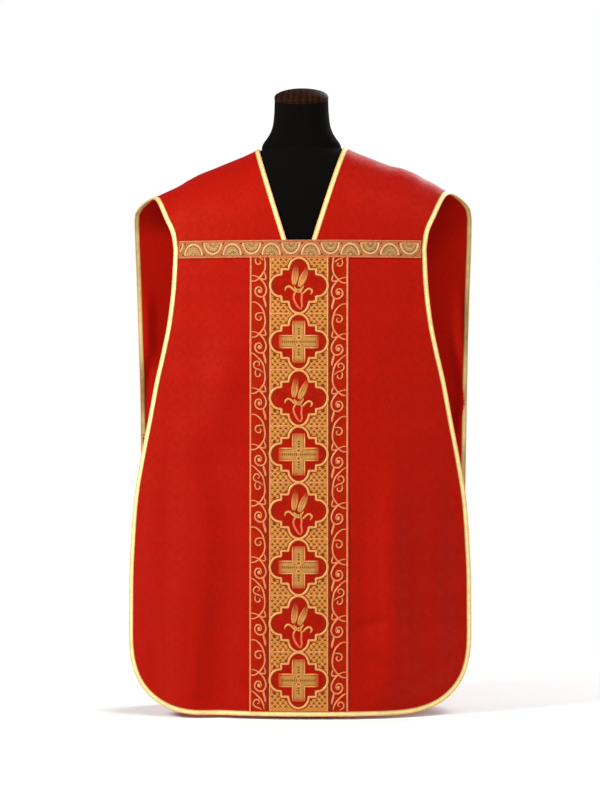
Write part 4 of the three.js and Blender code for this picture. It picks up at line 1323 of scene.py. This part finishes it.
def build_galloon():
    rise = sizes().relief / MM
    reach = float(moved_in(outline, CLOTH_UNDER_BRAID)[HEM_STEPS - 2 + len(front_side), 0]) - 6.8
    ground, shells, fills, fans, rims, specks, seams = (Heap() for _ in range(7))
    front_strip(ground, reach, GALLOON_BOTTOM, GALLOON_TOP, GALLOON_LIFT, 1.0, 121, 11)
    lift = GALLOON_LIFT + 1.0
    across = np.array([(-reach, 0.0), (reach, 0.0)])
    for height in (GALLOON_TOP - 1.1, GALLOON_BOTTOM + 1.1):
        cord(rims, spaced(across, 3.0) + (0, height), 2.0, 1.0, lift)
    for number in range(-7, 8):
        x = FIRST_SHELL + number * SHELL_PITCH
        up = 1 if number % 2 else -1
        foot = GALLOON_BOTTOM + SHELL_FOOT if up > 0 else GALLOON_TOP - SHELL_FOOT
        half, depth = SHELL_SIZE
        edge = arc(x, foot, half, depth * up, 0, 180, 34)
        kept = edge[np.abs(edge[:, 0]) < reach - 2]
        if len(kept) < 5:
            continue
        patch(fills, kept, lift, 0.25)
        halo = arc(x, foot, half + 4.2, (depth + 4.0) * up, 8, 172, 34)
        aside, away = np.abs(halo - (0, SEAM_HEIGHT)).T
        halo = halo[(aside < reach - 2) & (away < GALLOON_WIDTH / 2 - 3)]
        for part in (halo[halo[:, 0] < x], halo[halo[:, 0] > x]):
            if len(part) > 4:
                cord(fans, spaced(part, 1.6), 1.2, 0.7, lift, ends=0.5)
        cord(shells, spaced(kept, 1.6), 3.6, rise, lift)
        inner = arc(x, foot, half * 0.8, depth * 0.82 * up, 6, 174, 28)
        inner = inner[np.abs(inner[:, 0]) < reach - 3]
        if len(inner) > 4:
            cord(specks, spaced(inner, 1.6), 1.4, 0.5, lift + 0.25, ends=0.6)
        for angle in np.arange(-80, 81, 16):
            way = np.array([math.sin(math.radians(angle)), math.cos(math.radians(angle)) * up])
            lean = math.degrees(math.atan2(way[0], way[1]))
            for along, size in ((5.2, (0.9, 3.6, 0.9)), (11.4, (1.5, 3.4, 1.0))):
                spot = np.array([x, foot]) + way * along * (1 + 0.25 * math.cos(math.radians(angle)))
                if abs(spot[0]) < reach - 5:
                    scatter(fans, LEAF, [spot], lean, size, lift + 0.25)
        for aside in (-21.0, -17.0, 17.0, 21.0):
            spot = (x + aside, foot + up * 1.0)
            if abs(spot[0]) < reach - 4:
                scatter(specks, BEAD, [spot], 0, (1.8, 2.2, 0.5), lift)
    ground.make("galloon_ground", finish("galloon_ground"), "galloon", ("chest_galloon",))
    shells.make("galloon_shells", finish("cream_thread"), "galloon")
    fills.make("galloon_shell_fills", finish("khaki_ground"), "galloon")
    fans.make("galloon_fans", finish("khaki_thread"), "galloon")
    rims.make("galloon_rims", finish("galloon_rim"), "galloon")
    specks.make("galloon_specks", finish("brown_thread"), "galloon")
    x = np.linspace(-reach, reach, 220)
    for height in (GALLOON_TOP + SEAM_OFFSET, GALLOON_BOTTOM - SEAM_OFFSET):
        path = pairs(x, front_travel(x, np.full(len(x), height)))
        bare = V_BOTTOM_HALF + 14 if height > SEAM_HEIGHT else ORPHREY_HALF + 2
        path = path[np.abs(x) > bare]
        for side in (1, -1):
            sew(seams, path[path[:, 0] * side > 0])
    seams.make("galloon_stitches", finish("dark_thread"), "galloon")


# Dress form
def inside_cloth(x, y, height):
    answers = []
    for side, top in ((-1, SEAM_HEIGHT), (1, BACK_TOP)):
        reach = fall_depth(x, np.minimum(height, top), side) - FORM_MARGIN
        rise = (height - top) / (ridge_height(x) - FORM_MARGIN - top)
        over = (rise < 1) & (rise**2 + ((y - RIDGE_Y) / (reach - side * RIDGE_Y)) ** 2 <= 1)
        answers.append(np.where(height <= top, side * y <= reach, over))
    return np.where(y < RIDGE_Y, *answers)


FORM_POINTS = 120
SEAM_DIP = 0.7
HALVINGS = 26  # of the gap between a point in the body and one past the cloth


def form_rings():
    levels = np.concatenate([
        np.linspace(446, 470, 6), np.linspace(470, 1000, 54)[1:], np.linspace(1000, 1100, 26)[1:],
        np.linspace(1100, 1125, 16)[1:], np.linspace(1125, 1207, 28)[1:],
    ])
    height = levels[:, None]
    angle = np.arange(FORM_POINTS) / FORM_POINTS * 2 * math.pi
    half, depth, middle, slope = (reader(FORM_NECK, column)(height) for column in (1, 2, 3, 4))
    slope = np.radians(slope)
    out = depth * np.sin(angle)
    neck = np.stack(np.broadcast_arrays(
        half * np.cos(angle), middle + out * np.cos(slope), height + out * np.sin(slope)), -1)
    way_x, way_y = neck[..., 0], neck[..., 1] - RIDGE_Y
    length = np.hypot(way_x, way_y)
    way_x, way_y = way_x / length, way_y / length
    body_half, front, back = (reader(FORM_BODY, column)(height) for column in (1, 2, 3))
    body_depth = np.where(way_y < 0, front + RIDGE_Y, back - RIDGE_Y)
    bulk = np.abs(way_x / body_half) ** BODY_POWER + np.abs(way_y / body_depth) ** BODY_POWER
    size = bulk ** (-1 / BODY_POWER)
    level = np.broadcast_to(height, size.shape)
    near, far = np.zeros(size.shape), size.copy()
    for _ in range(HALVINGS):
        half_way = (near + far) / 2
        inside = inside_cloth(way_x * half_way, RIDGE_Y + way_y * half_way, level)
        near, far = np.where(inside, half_way, near), np.where(inside, far, half_way)
    free = inside_cloth(way_x * size, RIDGE_Y + way_y * size, level)
    reach = np.where(free, size, near)
    reach = np.maximum(reach, np.where(height > NECK_HOLDS_HEIGHT, length, 0))
    seam = np.zeros(FORM_POINTS)
    seam[[FORM_POINTS // 4, FORM_POINTS * 3 // 4]] = SEAM_DIP
    reach = reach - seam
    body = np.stack([way_x * reach, RIDGE_Y + way_y * reach, level], -1)
    neck[..., 1] -= seam * np.sign(neck[..., 1])
    return np.where((height > NECK_ALONE_HEIGHT)[..., None], neck, body), angle


def build_torso():
    rings, angle = form_rings()
    heap = Heap()
    flat = np.stack(np.broadcast_arrays(angle * 130, rings[..., 2]), -1) * MM
    heap.add(rings, ring_faces(len(rings), FORM_POINTS, False), flat)
    heap.make("torso_jersey", finish("jersey"), "black_jersey", ("form_torso",))


def lathe(heap, profile, segments, origin=(0, 0, 0), tilt=0.0):
    """A turned body from rows of (radius, height), both ends on its axis."""
    angle = np.arange(segments) / segments * 2 * math.pi
    lean = math.radians(tilt)
    axis = np.array([0, -math.sin(lean), math.cos(lean)])
    sideways, forwards = np.array([1.0, 0, 0]), np.array([0, math.cos(lean), math.sin(lean)])
    points, flat = [], []
    for radius, height in profile:
        ring = radius * (np.cos(angle)[:, None] * sideways + np.sin(angle)[:, None] * forwards)
        points.append(np.asarray(origin, float) + ring + axis * height)
        flat.append(np.stack([angle * 20, np.full(segments, height + radius)], -1) * MM)
    heap.add(np.concatenate(points), ring_faces(len(profile), segments, False), np.concatenate(flat))


SEAT_GAP = 0.3  # between two parts of the form that stand on each other


def build_stand():
    cap, pole, base = Heap(), Heap(), Heap()
    bow = [(CAP_RADIUS * math.cos(math.radians(a)), 5 + (CAP_RISE - 5) * math.sin(math.radians(a)))
           for a in range(0, 90, 6)]
    profile = [
        (1, 0), (CAP_RADIUS - 1.2, 0), (CAP_RADIUS - 0.3, 0.4), (CAP_RADIUS, 1.2), (CAP_RADIUS, 3.2),
        (CAP_RADIUS - 0.7, 3.7), (CAP_RADIUS - 0.7, 4.3), (CAP_RADIUS - 0.1, 4.8),
    ] + bow + [(1, CAP_RISE)]
    _, _, _, middle, slope = FORM_NECK[-1]
    lean = math.radians(slope)
    foot = (0, middle - SEAT_GAP * math.sin(lean), FORM_NECK[-1][0] + SEAT_GAP * math.cos(lean))
    lathe(cap, profile, 96, foot, slope)
    low, high = BASE_THICKNESS + SEAT_GAP, FORM_BODY[0][0] - SEAT_GAP
    lathe(pole, [
        (1, low), (POLE_RADIUS - 0.4, low), (POLE_RADIUS, low + 0.4), (POLE_RADIUS, high - 0.4),
        (POLE_RADIUS - 0.4, high), (1, high),
    ], 64)
    lathe(base, [
        (1, 0), (BASE_RADIUS - 0.8, 0), (BASE_RADIUS, 0.8), (BASE_RADIUS, 8.6), (BASE_RADIUS - 0.5, 10.2),
        (BASE_RADIUS - 1.6, 11.4), (BASE_RADIUS - 3.2, BASE_THICKNESS), (30, BASE_THICKNESS),
        (29.4, BASE_THICKNESS - 0.5), (28.2, BASE_THICKNESS - 0.5), (27.6, BASE_THICKNESS),
        (1, BASE_THICKNESS),
    ], 160)
    cap.make("neck_cap_turned", finish("wood"), "dark_wood", ("form_neck_cap",))
    pole.make("pole_tube", finish("steel"), "brushed_steel", ("form_pole",))
    base.make("base_plate", finish("steel"), "brushed_steel", ("form_base",))


# Stage
def lamp(name, spot, aim, size, energy):
    light = bpy.data.lights.new(name, "AREA")
    light.shape = "RECTANGLE"
    light.size, light.size_y = size
    light.energy = energy
    held = bpy.data.objects.new(name, light)
    held.location = spot
    held.rotation_euler = (Vector(aim) - Vector(spot)).to_track_quat("-Z", "Y").to_euler()
    bpy.context.scene.collection.objects.link(held)


FLOOR_RADIUS = 1.5


def surroundings():
    """White air all round and below, dim above, so that the lamps shape the cloth."""
    world = bpy.data.worlds.new("studio_air")
    world.use_nodes = True
    nodes, links = world.node_tree.nodes, world.node_tree.links
    way = nodes.new("ShaderNodeTexCoord")
    parts = nodes.new("ShaderNodeSeparateXYZ")
    level = nodes.new("ShaderNodeValToRGB")
    links.new(way.outputs["Generated"], parts.inputs[0])
    links.new(parts.outputs[2], level.inputs["Fac"])
    links.new(level.outputs["Color"], nodes["Background"].inputs["Color"])
    for element, (rise, light) in zip(level.color_ramp.elements, ((0.2, 1.0), (0.4, 0.1))):
        element.position = rise
        element.color = (light, light, light, 1)
    bpy.context.scene.world = world


def build_floor():
    rings = np.linspace(0, FLOOR_RADIUS, 13)[1:]
    turns = np.linspace(0, math.tau, 48, endpoint=False)
    points = [(0, 0, 0)] + [(r * math.cos(a), r * math.sin(a), 0) for r in rings for a in turns]
    around = len(turns)
    faces = [(0, 1 + i, 1 + (i + 1) % around) for i in range(around)]
    for r in range(len(rings) - 1):
        near, far = 1 + r * around, 1 + (r + 1) * around
        for i in range(around):
            beside = (i + 1) % around
            faces.append((near + i, far + i, far + beside, near + beside))
    mesh = bpy.data.meshes.new("studio_floor")
    mesh.from_pydata(points, [], faces)
    mesh.materials.append(paper_finish())
    floor = bpy.data.objects.new("studio_floor", mesh)
    bpy.context.scene.collection.objects.link(floor)


def build_camera():
    scene = bpy.context.scene
    lens = bpy.data.cameras.new("photo_camera")
    lens.lens = LENS
    lens.sensor_width = 36
    lens.clip_end = 60
    camera = bpy.data.objects.new("photo_camera", lens)
    turn = math.radians(CAMERA_TURN)
    camera.location = (
        (CAMERA_ASIDE * math.cos(turn) + CAMERA_DISTANCE * math.sin(turn)) * MM,
        (CAMERA_ASIDE * math.sin(turn) - CAMERA_DISTANCE * math.cos(turn)) * MM,
        CAMERA_HEIGHT * MM,
    )
    camera.rotation_euler = (math.pi / 2, 0, turn)
    scene.collection.objects.link(camera)
    scene.camera = camera


def build_stage():
    build_floor()
    lamp("key_light", (-3.0, -2.25, 2.65), (0, 0, 0.7), (1.3, 1.3), 204)
    lamp("top_light", (1.5, -1.3, 3.1), (0.1, 0, 0.9), (1.6, 1.2), 52)
    lamp("fill_light", (3.0, -3.5, 1.6), (0, 0, 0.6), (2.6, 2.2), 32)
    lamp("back_light", (1.5, 2.6, 2.6), (0, 0, 0.8), (2.2, 1.6), 95)
    surroundings()
    bpy.context.scene.view_settings.view_transform = "Standard"
    build_camera()


def piece(name):
    return bpy.data.objects[name]


def declare_cloth():
    """Works out the area of the front's grid and, twice, of the back's, and keeps none of them."""
    front, back = front_grid(), back_grid()
    area_of(front)
    area_of(back)
    area_of(back)


# What a user may change
def colour(name, description, *levels):
    return bpy.props.FloatVectorProperty(
        name=name, description=description, subtype="COLOR", size=3, min=0, max=1, default=srgb(*levels))


def length(name, description, millimetres):
    return bpy.props.FloatProperty(
        name=name, description=description, unit="LENGTH", subtype="DISTANCE", min=0, precision=4,
        default=millimetres * MM)


class ChasubleSizes(bpy.types.PropertyGroup):
    relief: length("Relief", "How far raised threads stand from their ground", 1.3)
    scroll_width: length("Scroll width", "Width of the strands of the scroll borders", 3.5)
    medallion_cord: length("Medallion cord", "Width of the cord round each medallion", 4.8)
    braid_plait: length("Braid plait", "Length of one plait of the edge braid", 5.4)
    stitch_pitch: length("Stitch pitch", "Distance from one stitch to the next", 5.0)


class ChasubleColours(bpy.types.PropertyGroup):
    damask: colour("Damask", "Silk of the panels", 152, 13, 5)
    lining: colour("Lining", "Satin inside", 182, 20, 9)
    orphrey_ground: colour("Orphrey ground", "Woven ground of the orphrey's borders", 154, 20, 4)
    medallion: colour("Medallion ground", "Ground inside the medallions", 142, 15, 4)
    lattice: colour("Lattice", "Gilt lattice of the column", 200, 122, 60)
    lattice_olive: colour("Olive gilt", "Greener threads of the lattice", 168, 128, 50)
    peach_thread: colour("Bright cord", "Cord round the medallions", 228, 152, 88)
    rose_thread: colour("Rose gilt", "Scrolls and edge lines", 228, 126, 82)
    soft_thread: colour("Soft gilt", "Leaves and stems between the medallions", 222, 152, 92)
    wheat: colour("Wheat", "Middle of the ears and leaves", 208, 150, 80)
    wheat_tip: colour("Wheat tips", "Tops of the ears", 168, 40, 16)
    wheat_stem: colour("Wheat stems", "Stems of the wheat", 226, 100, 66)
    cross: colour("Cross", "Middle of the crosses", 184, 132, 66)
    dark_thread: colour("Dark thread", "Shadow lines, rails and stitches", 118, 32, 2)
    brown_thread: colour("Brown thread", "Holes of the net between the medallions", 112, 44, 4)
    galloon: colour("Galloon ground", "Ground of the band round the chest", 168, 100, 54)
    galloon_rim: colour("Galloon rims", "Edges of the band round the chest", 196, 116, 84)
    cream_thread: colour("Cream thread", "Shells of the band round the chest", 204, 156, 112)
    khaki_thread: colour("Khaki gilt", "Fans of the band round the chest", 176, 134, 86)
    # The braid's middle colour carries a painted highlight and its side colour carries painted shade.
    braid: colour("Braid", "Middle of the edge braid", 246, 226, 150)
    braid_shaded_side: colour("Braid side", "Sides of the edge braid", 228, 168, 104)
    jersey: colour("Jersey", "Cover of the dress form", 4, 3, 2)
    wood: colour("Wood", "Turned cap of the neck", 34, 17, 9)
    steel: colour("Steel", "Pole and base", 190, 188, 184)
    paper: colour("Paper", "Floor of the stage", 248, 248, 247)


# Operators
class CHASUBLE_OT_cloth(bpy.types.Operator):
    """Builds the damask panels and the lining"""

    bl_idname = "chasuble.cloth"
    bl_label = "Panels and lining"

    def execute(self, context):
        build_cloth()
        return {"FINISHED"}


class CHASUBLE_OT_braids(bpy.types.Operator):
    """Builds the gilt braid round the edge and the neck"""

    bl_idname = "chasuble.braids"
    bl_label = "Braids"

    def execute(self, context):
        build_braids()
        return {"FINISHED"}


class CHASUBLE_OT_orphrey(bpy.types.Operator):
    """Builds the orphrey's ground, rails and scroll borders"""

    bl_idname = "chasuble.orphrey"
    bl_label = "Orphrey"

    def execute(self, context):
        build_orphrey()
        return {"FINISHED"}


class CHASUBLE_OT_medallions(bpy.types.Operator):
    """Builds the medallions with their crosses and wheat"""

    bl_idname = "chasuble.medallions"
    bl_label = "Medallions"

    def execute(self, context):
        build_medallions()
        return {"FINISHED"}


class CHASUBLE_OT_galloon(bpy.types.Operator):
    """Builds the shell galloon over the chest seam"""

    bl_idname = "chasuble.galloon"
    bl_label = "Galloon"

    def execute(self, context):
        build_galloon()
        return {"FINISHED"}


class CHASUBLE_OT_torso(bpy.types.Operator):
    """Builds the jersey-covered torso of the dress form"""

    bl_idname = "chasuble.torso"
    bl_label = "Torso"

    def execute(self, context):
        build_torso()
        return {"FINISHED"}


class CHASUBLE_OT_stand(bpy.types.Operator):
    """Builds the neck cap, the pole and the base"""

    bl_idname = "chasuble.stand"
    bl_label = "Cap, pole and base"

    def execute(self, context):
        build_stand()
        return {"FINISHED"}


class CHASUBLE_OT_declare(bpy.types.Operator):
    """Works out the area of every sheet of cloth and keeps none of them"""

    bl_idname = "chasuble.declare"
    bl_label = "Flat cuts"

    def execute(self, context):
        declare_cloth()
        return {"FINISHED"}


class CHASUBLE_OT_stage(bpy.types.Operator):
    """Builds the floor, the lights and the camera"""

    bl_idname = "chasuble.stage"
    bl_label = "Stage"

    def execute(self, context):
        build_stage()
        return {"FINISHED"}


OPERATORS = (
    CHASUBLE_OT_cloth, CHASUBLE_OT_braids, CHASUBLE_OT_orphrey, CHASUBLE_OT_medallions, CHASUBLE_OT_galloon,
    CHASUBLE_OT_torso, CHASUBLE_OT_stand, CHASUBLE_OT_declare, CHASUBLE_OT_stage,
)


class CHASUBLE_PT_panel(bpy.types.Panel):
    """The steps that build the chasuble, with its sizes and colours"""

    bl_idname = "CHASUBLE_PT_panel"
    bl_label = "Roman chasuble"
    bl_space_type = "VIEW_3D"
    bl_region_type = "UI"
    bl_category = "Chasuble"

    def draw(self, context):
        for group in (context.scene.chasuble_sizes, context.scene.chasuble_colours):
            box = self.layout.box()
            for name in group.__annotations__:
                box.prop(group, name)
        for step in OPERATORS:
            self.layout.operator(step.bl_idname)


CLASSES = (ChasubleSizes, ChasubleColours, *OPERATORS, CHASUBLE_PT_panel)


def register():
    for each in CLASSES:
        bpy.utils.register_class(each)
    bpy.types.Scene.chasuble_sizes = bpy.props.PointerProperty(type=ChasubleSizes)
    bpy.types.Scene.chasuble_colours = bpy.props.PointerProperty(type=ChasubleColours)


def unregister():
    del bpy.types.Scene.chasuble_colours
    del bpy.types.Scene.chasuble_sizes
    for each in reversed(CLASSES):
        bpy.utils.unregister_class(each)


def main():
    register()
    for step in OPERATORS:
        group, name = step.bl_idname.split(".")
        getattr(getattr(bpy.ops, group), name)()


if __name__ == "__main__":
    main()
